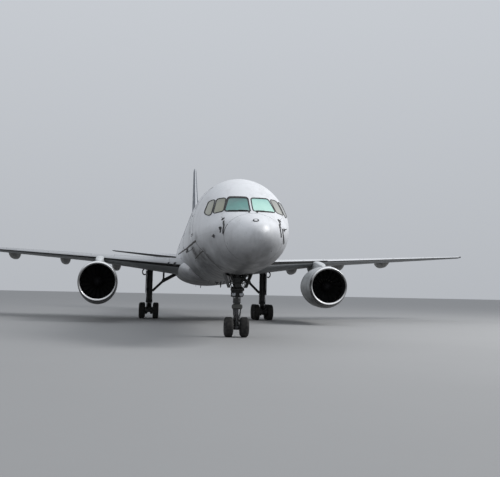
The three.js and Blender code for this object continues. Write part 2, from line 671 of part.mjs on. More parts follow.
function noseLeg() {
  const { station: y } = NOSE_GEAR;
  const { legEnd, legTop, legRadius, trunnionRadius, pinRadius, pinLength, brace, light, actuator } = NOSE_LEG;
  const { halfWidth, front } = NOSE_WELL;
  const wall = halfWidth - SEAM;
  const tube = vec(wall - brace.inset, front + 70 + SEAM, legTop - 60);
  const lights = [-light.aside, light.aside].map((x) =>
    bar(vec(x, y + light.back, light.height), vec(x, y + light.front, light.height), light.radius),
  );
  const braces = [-1, 1].map((side) =>
    bar(vec(side * brace.aside, y - 60, brace.foot), vec(side * tube.x, tube.y, tube.z), brace.radius),
  );
  const whole = joined(
    uprightBar(0, y, legEnd, legTop, legRadius),
    acrossBar(-wall, wall, y, legTop - 90, trunnionRadius),
    acrossBar(-wall, wall, tube.y, tube.z, brace.tubeRadius),
    acrossBar(-actuator.reach, actuator.reach, y + actuator.front, actuator.height, actuator.radius),
    acrossBar(-light.aside, light.aside, y + light.back, light.height, light.stem),
    ...braces,
    ...lights,
  );
  return cut(whole, bore(vec(0, y, legEnd - 5), vec(0, y, legEnd + pinLength + 8), pinRadius));
}

// An outline of [x, z] drawn out from y0 to y1.
function frontBlock(outline, y0, y1) {
  const shape = new THREE.Shape(outline.map(([x, z]) => new THREE.Vector2(x, z)));
  const block = new THREE.ExtrudeGeometry(shape, { depth: y1 - y0, bevelEnabled: false });
  return toSolid(block.rotateX(Math.PI / 2).translate(0, y1, 0));
}

// A door beside the nose leg, hung from the edge of the well.
function noseGearDoor() {
  const { front, back } = NOSE_WELL;
  const panel = frontBlock(NOSE_DOOR, front + 80, back - 40);
  return mainPiece(cut(panel, bodyPart(BODY_SECTIONS, 4000, 8000, SEAM)));
}

function mainLeg() {
  const { station: y, x, tyre, beamRadius } = MAIN_GEAR;
  const { cylinderEnd, top, radius, pistonRadius, lug, links, pin } = MAIN_LEG;
  const z = flatHeight(tyre);
  const crotch = z + beamRadius + 40;
  const cheek = (x0, x1) => box(x0, x1, y - lug.half, y + lug.half, z - lug.foot, crotch + 40);
  const whole = joined(
    uprightBar(x, y, cylinderEnd, top, radius),
    uprightBar(x, y, crotch, cylinderEnd + 50, pistonRadius),
    box(x - lug.outer, x + lug.outer, y - lug.half, y + lug.half, crotch, crotch + lug.head),
    cheek(x - lug.outer, x - lug.inner),
    cheek(x + lug.inner, x + lug.outer),
    torqueLinks(x, y, links, crotch),
  );
  const pivot = acrossBore(x - 300, x + 300, y, z, pin);
  return mainPiece(cut(whole, pivot, surface(WING, SEAM)));
}

function bogieBeam() {
  const { station: y, x, tyre, halfBase, axle, beamRadius } = MAIN_GEAR;
  const z = flatHeight(tyre);
  const reach = axleReach(MAIN_GEAR);
  const ends = [y - halfBase, y + halfBase];
  const beam = joined(
    bar(vec(x, ends[0], z), vec(x, ends[1], z), beamRadius),
    acrossBar(x - MAIN_LEG.lug.outer, x + MAIN_LEG.lug.outer, y, z, MAIN_LEG.pin),
    ...ends.map((end) => acrossBar(x - reach, x + reach, end, z, axle + AXLE_SLEEVE)),
  );
  return cut(beam, ...ends.map((end) => acrossBore(x - reach - 10, x + reach + 10, end, z, axle)));
}

function sideBrace() {
  const { station: y, x } = MAIN_GEAR;
  const { radius, top, brace, knee: joint } = MAIN_LEG;
  const knee = vec(x - brace.kneeIn, y, brace.knee);
  const whole = joined(
    bar(vec(x, y, brace.foot), knee, brace.lower),
    bar(knee, vec(x - brace.headIn, y, brace.head), brace.upper),
    bar(vec(knee.x, y - joint.half, knee.z), vec(knee.x, y + joint.half, knee.z), joint.radius),
    uprightBar(knee.x, y, knee.z, top, joint.linkRadius),
  );
  const leg = uprightBar(x, y, 0, top, radius + LEG_CLEAR);
  const skins = [bodyPart(FAIRING_SECTIONS, 15400, 29200, SEAM), surface(WING, SEAM)];
  return mainPiece(cut(whole, leg, ...skins));
}

// The door that hangs on the outboard side of a main leg.
function mainGearDoor() {
  const { station: y, x } = MAIN_GEAR;
  const { radius, door } = MAIN_LEG;
  const [near, far] = [x + door.offset, x + door.offset + door.thick];
  const panel = box(near, far, y - door.half, y + door.half, door.bottom, door.top);
  const arms = door.arms.map((z) => acrossBar(x, near + 10, y, z, door.armRadius));
  const leg = uprightBar(x, y, 0, 4000, radius + LEG_CLEAR);
  return mainPiece(cut(joined(panel, ...arms), leg, surface(WING, SEAM)));
}

// Cargo doors

// The sector of the fuselage between two angles below its widest line, on the aircraft's right.
function doorSector({ from, to, sill, head }, gap) {
  const [, halfWidth, , , waist] = sample(BODY_SECTIONS, (from + to) / 2);
  const widen = THREE.MathUtils.radToDeg(gap / halfWidth);
  const ray = (degrees) => {
    const turn = THREE.MathUtils.degToRad(degrees);
    return [-FAR_OUT * Math.cos(turn), -FAR_OUT * Math.sin(turn)];
  };
  const [upper, lower] = [ray(head - widen), ray(sill + widen)];
  return shifted(frontBlock([[0, 0], upper, lower], from - gap, to + gap), 0, 0, waist);
}

// Where the hinge line of a cargo door lies: just outside the skin, a little below the door's upper edge.
function doorHinge({ from, to, head }) {
  const [, halfWidth, , keel, waist] = sample(BODY_SECTIONS, from);
  const turn = THREE.MathUtils.degToRad(head + DOOR_HINGE.below);
  const x = -(halfWidth + DOOR_HINGE.proud) * Math.cos(turn);
  const z = waist - (waist - keel + DOOR_HINGE.proud) * Math.sin(turn);
  return [vec(x, from, z), vec(x, to, z)];
}

function buildCargoDoor(place) {
  const { from, to } = place;
  const [a, b] = doorHinge(place);
  const { knuckle, pin, lugLength } = DOOR_HINGE;
  const span = (grow) => bodyPart(BODY_SECTIONS, from - 1000, to + 1000, grow);
  const shell = cut(span(0), span(-DOOR_THICKNESS)).intersect(doorSector(place, 0));
  const pinEnd = RUNNING_GAP + lugLength - 10;
  const door = joined(
    shell,
    bar(a, b, knuckle),
    bar(vec(a.x, from - pinEnd, a.z), vec(b.x, to + pinEnd, b.z), pin),
  );
  const recess = cut(doorSector(place, RUNNING_GAP), span(-DOOR_THICKNESS - DOOR_HINGE.innerGap));
  const lug = (y0, y1) =>
    joined(
      bar(vec(a.x, y0, a.z), vec(a.x, y1, a.z), knuckle + 6),
      box(a.x - knuckle * 0.7, a.x + 200, y0, y1, a.z - knuckle * 0.7, a.z + knuckle * 0.7),
    );
  const lugs = [
    lug(from - RUNNING_GAP - lugLength, from - RUNNING_GAP),
    lug(to + RUNNING_GAP, to + RUNNING_GAP + lugLength),
  ];
  const pinHoles = bore(vec(a.x, from - 500, a.z), vec(b.x, to + 500, b.z), pin);
  return { door, recess, lugs, pinHoles, hinge: [a, b] };
}

// Put together

function grownOutline(outline, by) {
  const middle = [0, 1].map((k) => outline.reduce((sum, p) => sum + p[k], 0) / outline.length);
  return outline.map(([y, z]) => {
    const away = new THREE.Vector2(y - middle[0], z - middle[1]);
    away.setLength(away.length() + 2 * by);
    return [middle[0] + away.x, middle[1] + away.y];
  });
}

function buildNose() {
  const part = (grow) => bodyPart(BODY_SECTIONS, RADOME_END, NOSE_END - SEAM, grow);
  const { halfWidth, front, back, roof } = NOSE_WELL;
  const glass = cut(part(0).intersect(sideBlock(WINDOW_BAND, -FAR_OUT, FAR_OUT)), part(-WINDOW_DEPTH));
  const inner = bodyPart(BODY_SECTIONS, RADOME_END - 900, NOSE_END + 900, -WINDOW_DEPTH - SEAM);
  const rebate = cut(sideBlock(grownOutline(WINDOW_BAND, SEAM), -FAR_OUT, FAR_OUT), inner);
  const well = box(-halfWidth, halfWidth, front, back, 1000, roof);
  const { station, radius, depth } = NOSE_JACK_PAD;
  const keel = sample(BODY_SECTIONS, station)[3];
  const pad = uprightBar(0, station, keel - depth, keel + 200, radius);
  return { glass: mainPiece(glass), nose: joined(cut(part(0), rebate, well), pad) };
}

function buildFuselage() {
  const forward = buildCargoDoor(CARGO_DOORS.forward);
  const aft = buildCargoDoor(CARGO_DOORS.aft);
  const withDoor = (body, { recess, lugs, pinHoles }) => cut(joined(cut(body, recess), ...lugs), pinHoles);
  const centre = withDoor(bodyPart(BODY_SECTIONS, NOSE_END, BARREL_END - SEAM), forward);
  const tail = withDoor(bodyPart(BODY_SECTIONS, BARREL_END, TAIL_END - SEAM), aft);
  return { forward, aft, centre, tail };
}

const aircraft = new THREE.Group();
aircraft.scale.setScalar(MODEL_SCALE);
aircraft.position.y = (-LENGTH / 2) * MODEL_SCALE;

function add(name, body, material, place = vec(0, 0, 0)) {
  const mesh = new THREE.Mesh(toGeometry(body), material);
  mesh.name = name;
  mesh.position.copy(place);
  aircraft.add(mesh);
  return mesh;
}

// A piece of the left side and its mirror image on the right.
function addPair(name, body, material) {
  add(`${name}_left`, body, material);
  add(`${name}_right`, mirrored(body), material);
}

function addFuselage() {
  const { glass, nose } = buildNose();
  const { forward, aft, centre, tail } = buildFuselage();
  add("radome", bodyPart(BODY_SECTIONS, 0, RADOME_END - SEAM), WHITE);
  add("forward_fuselage", nose, WHITE);
  add("cockpit_windows", glass, GLASS);
  add("centre_fuselage", centre, WHITE);
  add("aft_fuselage", tail, WHITE);
  add("tail_cone", bodyPart(BODY_SECTIONS, TAIL_END, 46960), PALE_GREY);
  add("cargo_door_forward", forward.door, WHITE).userData.hinge = forward.hinge;
  add("cargo_door_aft", aft.door, WHITE).userData.hinge = aft.hinge;
}

function addWings() {
  const { wing, flaps, aileron, hinge } = buildWing();
  addPair("wing", wing, WHITE);
  addPair("flap_inboard", flaps.inboard, PALE_GREY);
  addPair("flap_outboard", flaps.outboard, PALE_GREY);
  addPair("aileron", aileron, PALE_GREY);
  aircraft.userData.aileronHinge = hinge;
  const skin = bodyPart(BODY_SECTIONS, 15000, 29600, SEAM);
  const roots = surface(WING, SEAM);
  const shell = bodyPart(FAIRING_SECTIONS, 15400, 29200);
  add("belly_fairing", mainPiece(cut(shell, skin, roots, mirrored(roots))), WHITE);
}

function addTail() {
  const body = bodyPart(BODY_SECTIONS, BARREL_END, 46960, SEAM);
  const half = hinged(STABILISER, mainPiece(cut(surface(STABILISER), body)), ELEVATOR);
  addPair("stabiliser", mainPiece(half.fixed), WHITE);
  addPair("elevator", half.moving, WHITE);
  const blade = hinged(FIN, surface(FIN), RUDDER);
  const fin = cut(joined(standUp(blade.fixed), dorsalFillet()), body);
  add("fin", mainPiece(fin), WHITE);
  add("rudder", standUp(blade.moving), WHITE);
  aircraft.userData.elevatorHinge = half.hinge;
  aircraft.userData.rudderHinge = blade.hinge.map((point) => point.clone().applyMatrix4(STAND_UP));
}

function addEngines() {
  const finishes = {
    intake_lip: BARE_METAL, core: DARK_METAL, fan: DARK_METAL, exhaust_nozzle: BARE_METAL,
  };
  const pieces = Object.entries(buildEngine());
  const { x, station, z } = ENGINE;
  for (const [side, sign] of [["left", 1], ["right", -1]]) {
    for (const [name, body] of pieces) {
      const toed = moved(body, toeIn(sign));
      add(`${name}_${side}`, toed, finishes[name] ?? PALE_GREY, vec(sign * x, station, z));
    }
  }
  addPair("pylon", buildPylon(), PALE_GREY);
}

function addGear() {
  add("nose_leg", noseLeg(), GEAR_GREY);
  add("nose_steering", noseSteering(), GEAR_GREY);
  addPair("nose_gear_door", noseGearDoor(), WHITE);
  const noseAxle = vec(0, NOSE_GEAR.station, flatHeight(NOSE_GEAR.tyre));
  add("nose_wheels", wheelPair(NOSE_GEAR), RUBBER, noseAxle);
  addPair("main_leg", mainLeg(), GEAR_GREY);
  addPair("bogie_beam", bogieBeam(), GEAR_GREY);
  addPair("side_brace", sideBrace(), GEAR_GREY);
  addPair("main_gear_door", mainGearDoor(), WHITE);
  const { x, station, halfBase, tyre } = MAIN_GEAR;
  const wheels = wheelPair(MAIN_GEAR);
  for (const [side, across] of [["left", x], ["right", -x]]) {
    for (const [end, along] of [["front", -halfBase], ["rear", halfBase]]) {
      add(`main_wheels_${end}_${side}`, wheels, RUBBER, vec(across, station + along, flatHeight(tyre)));
    }
  }
}

addFuselage();
addWings();
addTail();
addEngines();
addGear();

export default aircraft;
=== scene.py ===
"""A weathered twin-engine airliner at half scale, parked on its gear.

Sizes are the full-size aircraft's, in metres: x to its left, y aft of the nose, z up.
place() turns them into the half-size model's own frame.
"""

import math
import random

import bmesh
import bpy
import numpy as np
from mathutils import Matrix, Vector


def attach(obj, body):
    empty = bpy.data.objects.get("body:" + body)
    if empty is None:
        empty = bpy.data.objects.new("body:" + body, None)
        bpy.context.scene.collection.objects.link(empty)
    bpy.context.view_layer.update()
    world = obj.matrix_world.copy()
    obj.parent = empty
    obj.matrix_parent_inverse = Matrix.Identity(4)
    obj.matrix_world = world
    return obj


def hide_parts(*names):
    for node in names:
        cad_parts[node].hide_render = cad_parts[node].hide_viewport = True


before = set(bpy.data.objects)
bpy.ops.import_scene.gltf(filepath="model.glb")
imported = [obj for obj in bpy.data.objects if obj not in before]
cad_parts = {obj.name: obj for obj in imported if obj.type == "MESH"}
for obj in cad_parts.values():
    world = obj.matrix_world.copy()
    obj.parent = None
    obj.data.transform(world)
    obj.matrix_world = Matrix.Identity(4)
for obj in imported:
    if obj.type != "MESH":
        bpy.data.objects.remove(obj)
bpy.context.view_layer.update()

SCALE = 0.5
LENGTH = 47.32
HEIGHT = 13.56
HALF_SPAN = 19.025
TAIL_HALF_SPAN = 7.605
AFT, UP = Vector((0, 1, 0)), Vector((0, 0, 1))
SIDES = (("left", 1), ("right", -1))
CREASE = math.radians(38)  # edges sharper than this stay hard
JOINT_GAP = 0.004  # hairline between fixed pieces
RUNNING_GAP = 0.014

# The photograph's camera, on the full-size aircraft
CAMERA = {
    "at": (-2.92591, -20.93278, 1.68410),
    "yaw": 7.2420, "pitch": 4.5664, "roll": 1.1219,
    "focal_pixels": 690.679, "frame_pixels": 500,
}

# Fuselage. Columns: station, half width, crown z, keel z, z of the greatest width
BODY = [
    (0.00, 0.09, 3.55, 3.37, 3.46), (0.06, 0.25, 3.71, 3.21, 3.46), (0.25, 0.48, 3.93, 3.00, 3.47),
    (0.60, 0.72, 4.10, 2.825, 3.50), (1.00, 0.91, 4.24, 2.70, 3.55), (1.80, 1.19, 4.46, 2.55, 3.66),
    (2.60, 1.40, 5.01, 2.475, 3.80), (3.20, 1.53, 5.39, 2.445, 3.90), (3.90, 1.65, 5.71, 2.42, 4.00),
    (4.70, 1.745, 5.95, 2.40, 4.10), (5.60, 1.815, 6.13, 2.375, 4.19), (7.00, 1.865, 6.235, 2.32, 4.25),
    (8.60, 1.88, 6.25, 2.24, 4.25), (29.0, 1.88, 6.25, 2.24, 4.25), (32.0, 1.85, 6.25, 2.33, 4.30),
    (35.0, 1.72, 6.25, 2.65, 4.45), (38.0, 1.48, 6.235, 3.12, 4.66), (41.0, 1.15, 6.13, 3.76, 4.90),
    (44.0, 0.72, 5.88, 4.45, 5.13), (45.5, 0.48, 5.70, 4.79, 5.23), (46.96, 0.20, 5.47, 5.09, 5.28),
]
# Belly fairing, columns as above
FAIRING = [
    (15.4, 1.50, 3.30, 2.33, 2.90), (16.6, 1.82, 3.50, 2.23, 2.95), (18.2, 1.95, 3.70, 2.17, 3.00),
    (20.5, 2.01, 3.80, 2.14, 3.00), (24.8, 2.01, 3.70, 2.14, 3.00), (27.0, 1.93, 3.50, 2.19, 3.00),
    (29.2, 1.50, 3.30, 2.30, 2.90),
]
RADOME_END, NOSE_END, BARREL_END, TAIL_END, BODY_END = 1.15, 7.0, 30.0, 45.5, 46.96
BODY_SIDES = 96
BODY_ANGLES = [i * 360 / BODY_SIDES for i in range(BODY_SIDES)]
NOSE_WELL = {"front": 5.12, "back": 6.25, "roof": 2.82, "half_degrees": 15.1}  # angles from the keel line
WELL_FRAMES = {"count": 4, "from": 5.35, "pitch": 0.25, "half_width": 0.46, "half_depth": 0.015,
               "bottom": 2.72, "top": 2.80}
TAIL_EXHAUST_HEIGHT = 5.28

# Lifting surfaces. Columns: span, leading edge station, chord, leading edge z, incidence, thickness / chord
WING = [
    (1.5, 18.25, 7.5, 3.22, 2.8, 0.13), (7.4, 21.385, 5.015, 3.74, 1.0, 0.092),
    (HALF_SPAN - 0.25, 27.43, 1.8, 4.63, 0, 0.085), (HALF_SPAN, 27.8, 1.4, 4.65, 0, 0.06),
]
STABILISER = [
    (0.3, 40.42, 5.0, 4.72, 0, 0.11), (TAIL_HALF_SPAN - 0.15, 45.2, 1.78, 5.52, 0, 0.09),
    (TAIL_HALF_SPAN, 45.42, 1.5, 5.54, 0, 0.06),
]
# The fin's span is its height above the ground
FIN = [
    (5.7, 37.9, 7.25, 0, 0, 0.115), (HEIGHT - 0.2, 44.54, LENGTH - 0.06 - 44.54, 0, 0, 0.09),
    (HEIGHT, 44.9, LENGTH - 44.9, 0, 0, 0.06),
]
EDGE_THICKNESS = 0.016
COVE_GAP = 0.018
# Hinged surfaces: spans, hinge line as a share of the chord, gap at the ends, spans of the static rods
AILERON = {"from": 14.05, "to": 17.7, "hinge": 0.74, "gap": 0.046, "rods": (15.0, 16.2, 17.4)}
ELEVATOR = {"from": 0.985, "to": 7.33, "hinge": 0.70, "gap": 0.070, "rods": (4.5, 5.7, 6.9)}
RUDDER = {"from": 6.7, "to": 13.1, "hinge": 0.68, "gap": 0.090, "rods": (10.5, 11.7, 12.9)}
# Flaps: spans, and their front as a share of the chord
FLAPS = {"flap_inboard": (2.35, 7.05, 0.75), "flap_outboard": (7.45, 13.95, 0.74)}
FLAP_FAIRINGS = {
    "spans": (5.9, 9.3, 12.75), "length": 3.4, "ahead": 0.68, "half_width": 0.30, "depth": 0.53, "top": 0.11,
    "crown": 0.09,
    # share of the length, share of the width and depth
    "shape": [(0, 0.02), (0.06, 0.32), (0.15, 0.58), (0.4, 0.95), (0.6, 1.0), (0.85, 0.68), (1.0, 0.04)],
}
WING_ROOT_END = 7.4
SLATS = [(2.5, 5.75), (7.15, 9.9), (9.9, 12.7), (12.7, 15.5), (15.5, 18.4)]
SLAT_TOP, SLAT_BOTTOM = 0.115, 0.035  # where they end, as shares of the chord
# Spoilers: spans, then shares of the chord
SPOILERS = [
    (2.4, 4.6, 0.60, 0.745), (4.6, 6.9, 0.60, 0.745), (7.5, 9.1, 0.58, 0.73), (9.1, 10.7, 0.58, 0.73),
    (10.7, 12.3, 0.58, 0.73), (12.3, 13.9, 0.58, 0.73),
]
WING_PANEL_SPANS = (3.4, 5.3, 8.4, 10.4, 12.4, 14.4, 16.4)
ACCESS_SPANS, ACCESS_SHARES = (3.9, 5.2, 6.9, 8.6, 10.3, 12.0, 13.7, 15.2), (0.30, 0.47)
TIP_RODS = (17.95, 18.3, 18.65)  # spans of the static rods beyond the aileron
ROD = {"length": 0.17, "foot": 0.007, "tip": 0.004}  # a static rod, with its radii
TIP_LIGHT = (HALF_SPAN - 0.11, 0.03)  # span, share
ACCESS_COVER = {"half_span": 0.20, "half_chord": 0.196}
# Where seams across a surface start and end, as shares of the chord
WING_PANEL_SEAMS = {"top": (0.13, 0.57), "bottom": (0.05, 0.72)}
STABILISER_SEAM, FIN_SEAM = (0.06, 0.66), (0.06, 0.64)
# The ends of the seams along the stabiliser's nose and the fin's spar, as (span, share)
STABILISER_NOSE = ((1.2, 0.055), (7.4, 0.055))
FIN_SPAR = ((6.4, 0.30), (13.2, 0.30))
LANDING_LAMPS = [(2.16, 0.115), (2.52, 0.085)]  # span, radius
TAIL_PANEL_SPANS, FIN_PANEL_SPANS = (2.2, 3.6, 5.0, 6.4), (7.6, 8.9, 10.2, 11.5, 12.6)
DORSAL = {"start": 34.6, "end": 40.4, "height": 0.9, "width": 0.13}

# Engines, y aft of the intake's front
ENGINE = Vector((6.284, 16.45, 2.18))
TOE_IN = math.radians(3.5)
# The nacelle's outside: station, side, top and bottom radius
NACELLE = [
    (0.00, 0.985, 0.995, 1.010), (0.04, 1.010, 1.035, 1.065), (0.15, 1.030, 1.070, 1.125),
    (0.40, 1.045, 1.105, 1.185), (1.00, 1.060, 1.135, 1.230), (1.90, 1.070, 1.145, 1.235),
    (3.10, 1.070, 1.140, 1.200), (3.80, 1.045, 1.095, 1.120), (4.56, 0.965, 0.975, 0.975),
]
NACELLE_SIDES = 72
LIP_END, FAN_COWL_END, SLEEVE_END = 0.25, 3.10, 4.56
DUCT_RADIUS = 0.945
SLEEVE_RADIUS = 0.900
FAN = {"station": 1.01, "depth": 0.30, "blades": 18, "tip": 0.905, "hub": 0.30, "shaft": 0.11,
       "shaft_end": 1.70}
GUIDE_VANES = {"count": 24, "station": 1.58, "half_depth": 0.16, "half_thickness": 0.012, "turn": 45}
PYLON = {"from": 1.65, "to": 8.2, "half_width": 0.215, "wing": 4.8}
COWL_SEAM = 1.28  # station of the seam around the fan cowl
COWL_SEAM_ANGLES = (62, 118, 268.6, 271.4)  # of the seams that run aft from it
COWL_DOORS = [(205, 1.9), (335, 2.3), (222, 2.7)]  # angle, station of the front edge
COWL_DOOR = {"half_degrees": 9, "length": 0.34}
LATCHES = {"count": 5, "from": 1.5, "pitch": 0.33, "length": 0.14, "width": 0.07}

# Landing gear
TYRE_FLAT = math.cos(math.pi / 18)  # the wheels' solids stand on a flat, so the round tyre is smaller
NOSE_GEAR = {"y": 5.77, "half_track": 0.305, "tyre": 0.394 * TYRE_FLAT, "width": 0.33, "rim": 0.165,
             "axle": 0.045, "bolts": 8}
MAIN_GEAR = {"x": 3.66, "y": 24.06, "half_base": 0.571, "half_track": 0.432, "tyre": 0.508 * TYRE_FLAT,
             "width": 0.368, "rim": 0.25, "axle": 0.06, "bolts": 10}
BEARING_DEPTH = 0.036  # how far an axle reaches into its wheels
# Heights of the nose gear's parts, half the width of its bay and its drag brace's station
NOSE_LEG = {"bottom": 1.52, "top": 2.66, "collar": (1.316, 1.506), "cross_bar": 1.84, "trunnion": 2.57,
            "half_bay": 0.499, "brace_y": 5.19, "brace_z": 2.6, "lamp": 1.645}
# Heights of the main leg's ends, its bands and the upper lug of its torque links
MAIN_LEG = {"bottom": 1.15, "top": 3.30, "bands": (1.50, 1.62, 2.40, 2.95), "links": 1.24}
# The side brace: inward from the leg's axis, height
SIDE_BRACE = {"foot": (0.185, 1.56 + 0.185 * 0.86 / 0.88), "knee": (0.88, 2.42), "head": (1.66, 2.855)}

# Cargo doors on the right side: stations, edges in degrees below the widest line
CARGO_DOORS = {
    "forward": {"from": 9.9, "to": 11.3, "head": 18.5, "sill": 59},
    "aft": {"from": 31.0, "to": 32.4, "head": 16.5, "sill": 56},
}
DOOR_THICKNESS, RECESS_DEPTH = 0.11, 0.17
DOOR_HINGE = {"proud": 0.024, "below": 0.9, "knuckle": 0.046}
DOOR_RIB = {"inset": 0.25, "half_width": 0.02, "inner": -0.13, "outer": -0.105, "clear_degrees": 2}
# Outlines on the underside, of the nose wheel's doors and of the hatch ahead: stations, half width
BELLY_DOORS = [(NOSE_WELL["front"] - 0.02, NOSE_WELL["back"] + 0.02, 0.53), (3.6, 4.9, 0.36)]

# Cockpit panes from straight ahead: inner bottom, inner top, outer top, outer bottom as (x, z)
PANES = {
    "front": [(0.068, 4.425), (0.072, 4.945), (0.675, 4.975), (0.850, 4.465)],
    "side": [(0.915, 4.455), (0.775, 4.985), (1.050, 4.980), (1.215, 4.410)],
    "rear": [(1.290, 4.385), (1.125, 4.980), (1.305, 4.945), (1.470, 4.510), (1.370, 4.365)],
}
# Glass of the front panes and of the others, tints that hold painted reflections, paler on the lit left side;
# width of the front panes' seals, what they have more above
PANE_LOOKS = {"left": ("mint", "beige", 0.034, 0.012), "right": ("teal", "khaki", 0.046, 0.030)}
WINDSCREEN_POST = {"foot": 4.42, "height": 0.53, "width": 0.05}
# Wipers from straight ahead, as (x, z): pivot, bend and end of the arm, foot of the blade and its extent
WIPER = [(0.13, 4.335), (0.16, 4.385), (0.42, 4.43), (0.12, 4.415), (0.62, 0.035)]
# Dark strips on the sides of the nose, as (station, height)
NOSE_STRIPS = {
    "left": [[(1.70, 4.15), (1.40, 4.00), (1.10, 3.90), (0.95, 3.80), (0.85, 3.65), (0.85, 3.50)],
             [(1.25, 3.80), (1.10, 3.65), (1.20, 3.50), (1.45, 3.35)]],
    "right": [[(1.60, 4.05), (1.45, 3.95), (1.30, 3.85), (1.25, 3.75), (1.20, 3.60)],
              [(1.45, 3.80), (1.40, 3.65)]],
}
# Thin scrapes on the right side of the nose, as (station, height), with their width
SCUFF_LINES = [
    ([(4.90, 3.55), (4.65, 3.35), (4.20, 3.20), (4.05, 2.95), (4.20, 2.70), (4.70, 2.55)], 0.035),
    ([(4.20, 3.20), (6.10, 3.15), (8.10, 3.10)], 0.045),
    ([(7.05, 3.50), (7.15, 3.35), (7.40, 3.15)], 0.030),
]
# The edge that an old stripe has left on both sides, as (station, height)
OLD_STRIPE = [(4.9, 3.62), (8, 3.62), (11, 3.70), (14, 3.79), (17, 3.89), (20, 3.99), (25, 4.16)]
# Passenger doors, exits and service panels on both sides: stations, sill and head heights
PASSENGER_DOORS = [(5.32, 6.18, 3.93, 5.74), (13.45, 14.31, 3.93, 5.74), (36.55, 37.35, 3.95, 5.72)]
WING_EXITS = [(21.95, 22.45, 4.42, 5.36), (22.97, 23.47, 4.42, 5.36)]
SERVICE_PANELS = [(3.9, 4.5, 2.75, 3.1), (8.2, 8.7, 2.75, 3.05), (33.2, 33.9, 3.2, 3.5)]
WINDOWS = {"from": 7.0, "to": 36.2, "pitch": 0.508, "height": 4.90, "half_width": 0.115, "half_height": 0.17,
           "corner": 0.09, "rim": 0.022}
# The pane of a passenger door or a wing exit: its place up the door, half its width on each, and the rest
DOOR_PANE = {"share": 0.62, "door": 0.10, "exit": 0.09, "half_height": 0.13, "corner": 0.07, "rim": 0.02}
DOOR_SEAM = {"corner": 0.13, "width": 0.022}
DOOR_HANDLE = {"from": 0.02, "length": 0.2, "height": 0.72, "width": 0.05}
DOOR_SILL = {"beyond": 0.05, "bottom": 0.06, "top": 0.02, "corner": 0.01}
# On the sides of the nose, as (station, height)
UPPER_PROBE, LOWER_PROBE, VANE = (1.50, 3.80), (1.98, 3.575), (1.80, 4.14)
# What stands on the skin. Angles go from the left side over the top.
NOSE_DISC = (0.32, 95.5)  # station, angle
# Dark strips along the radome's joint
RADOME_JOINT_STRIPS = [(22, -24), (158, 24)]  # angle, sweep
BARREL_SEAMS = (62, 118, 82, 98)  # angles of the seams along the body
AERIALS = [  # station, angle, height, chord
    (9.6, 90, 0.32, 0.42), (21.5, 90, 0.32, 0.42), (8.3, 270, 0.26, 0.34), (13.2, 270, 0.30, 0.36),
    (30.6, 270, 0.26, 0.34), (11.4, 270, 0.10, 0.30),
]
DRAINS = [(12.6, 261), (31.9, 262), (14.4, 256)]  # station, angle
DRAIN_BLADE = (0.22, 0.14, 0.9)  # height, chord, lean
BEACONS = [("upper", 18.3, 90, "red"), ("lower", 14.7, 268, "cabin")]  # station, angle, lens


def place(x, y, z):
    """A place on the full-size aircraft as a point of the half-size model."""
    return Vector((x * SCALE, (y - LENGTH / 2) * SCALE, z * SCALE))


def sample(table, at):
    """The columns of a table at a value of its first column, by straight lines."""
    for low, high in zip(table, table[1:]):
        if at <= high[0]:
            break
    share = (at - low[0]) / (high[0] - low[0])
    return [a + (b - a) * share for a, b in zip(low, high)]


def steps(start, end, longest):
    """Even steps from start to end, none over a length."""
    count = max(1, math.ceil(abs(end - start) / longest - 1e-9))
    return [start + (end - start) * i / count for i in range(count + 1)]


def merged(*lists):
    """One rising list of the values in several, without near repeats."""
    values = sorted(v for each in lists for v in each)
    kept = [values[0]]
    for v in values[1:]:
        if v - kept[-1] > 1e-5:
            kept.append(v)
    return kept


def circle(count, turn=0.0):
    """(cosine, sine) pairs, evenly round a circle."""
    angles = [2 * math.pi * (i + turn) / count for i in range(count)]
    return [(math.cos(a), math.sin(a)) for a in angles]


class Smooth:
    """The columns of a table along a curve with no overshoot through its rows."""

    def __init__(self, table, warp=lambda value: value):
        self.warp = warp
        rows = np.array(table, float)
        self.x = np.array([warp(v) for v in rows[:, 0]])
        self.y = rows[:, 1:]
        step = np.diff(self.x)[:, None]
        slope = np.diff(self.y, axis=0) / step
        self.tangent = np.zeros_like(self.y)
        self.tangent[0], self.tangent[-1] = slope[0], slope[-1]
        before, after = slope[:-1], slope[1:]
        same = before * after > 0
        w1, w2 = 2 * step[1:] + step[:-1], step[1:] + 2 * step[:-1]
        mean = (w1 + w2) / (w1 / np.where(same, before, 1) + w2 / np.where(same, after, 1))
        self.tangent[1:-1] = np.where(same, mean, 0)

    def __call__(self, value):
        v = self.warp(value)
        i = int(np.clip(np.searchsorted(self.x, v) - 1, 0, len(self.x) - 2))
        h = self.x[i + 1] - self.x[i]
        t = (v - self.x[i]) / h
        t2, t3 = t * t, t * t * t
        return ((2 * t3 - 3 * t2 + 1) * self.y[i] + (t3 - 2 * t2 + t) * h * self.tangent[i]
                + (-2 * t3 + 3 * t2) * self.y[i + 1] + (t3 - t2) * h * self.tangent[i + 1])


def blunt(y):
    """A station, spread out towards the blunt front."""
    return math.sqrt(max(y, 0.0))


body_section = Smooth(BODY, warp=blunt)
fairing_section = Smooth(FAIRING)
nacelle_section = Smooth(NACELLE, warp=blunt)


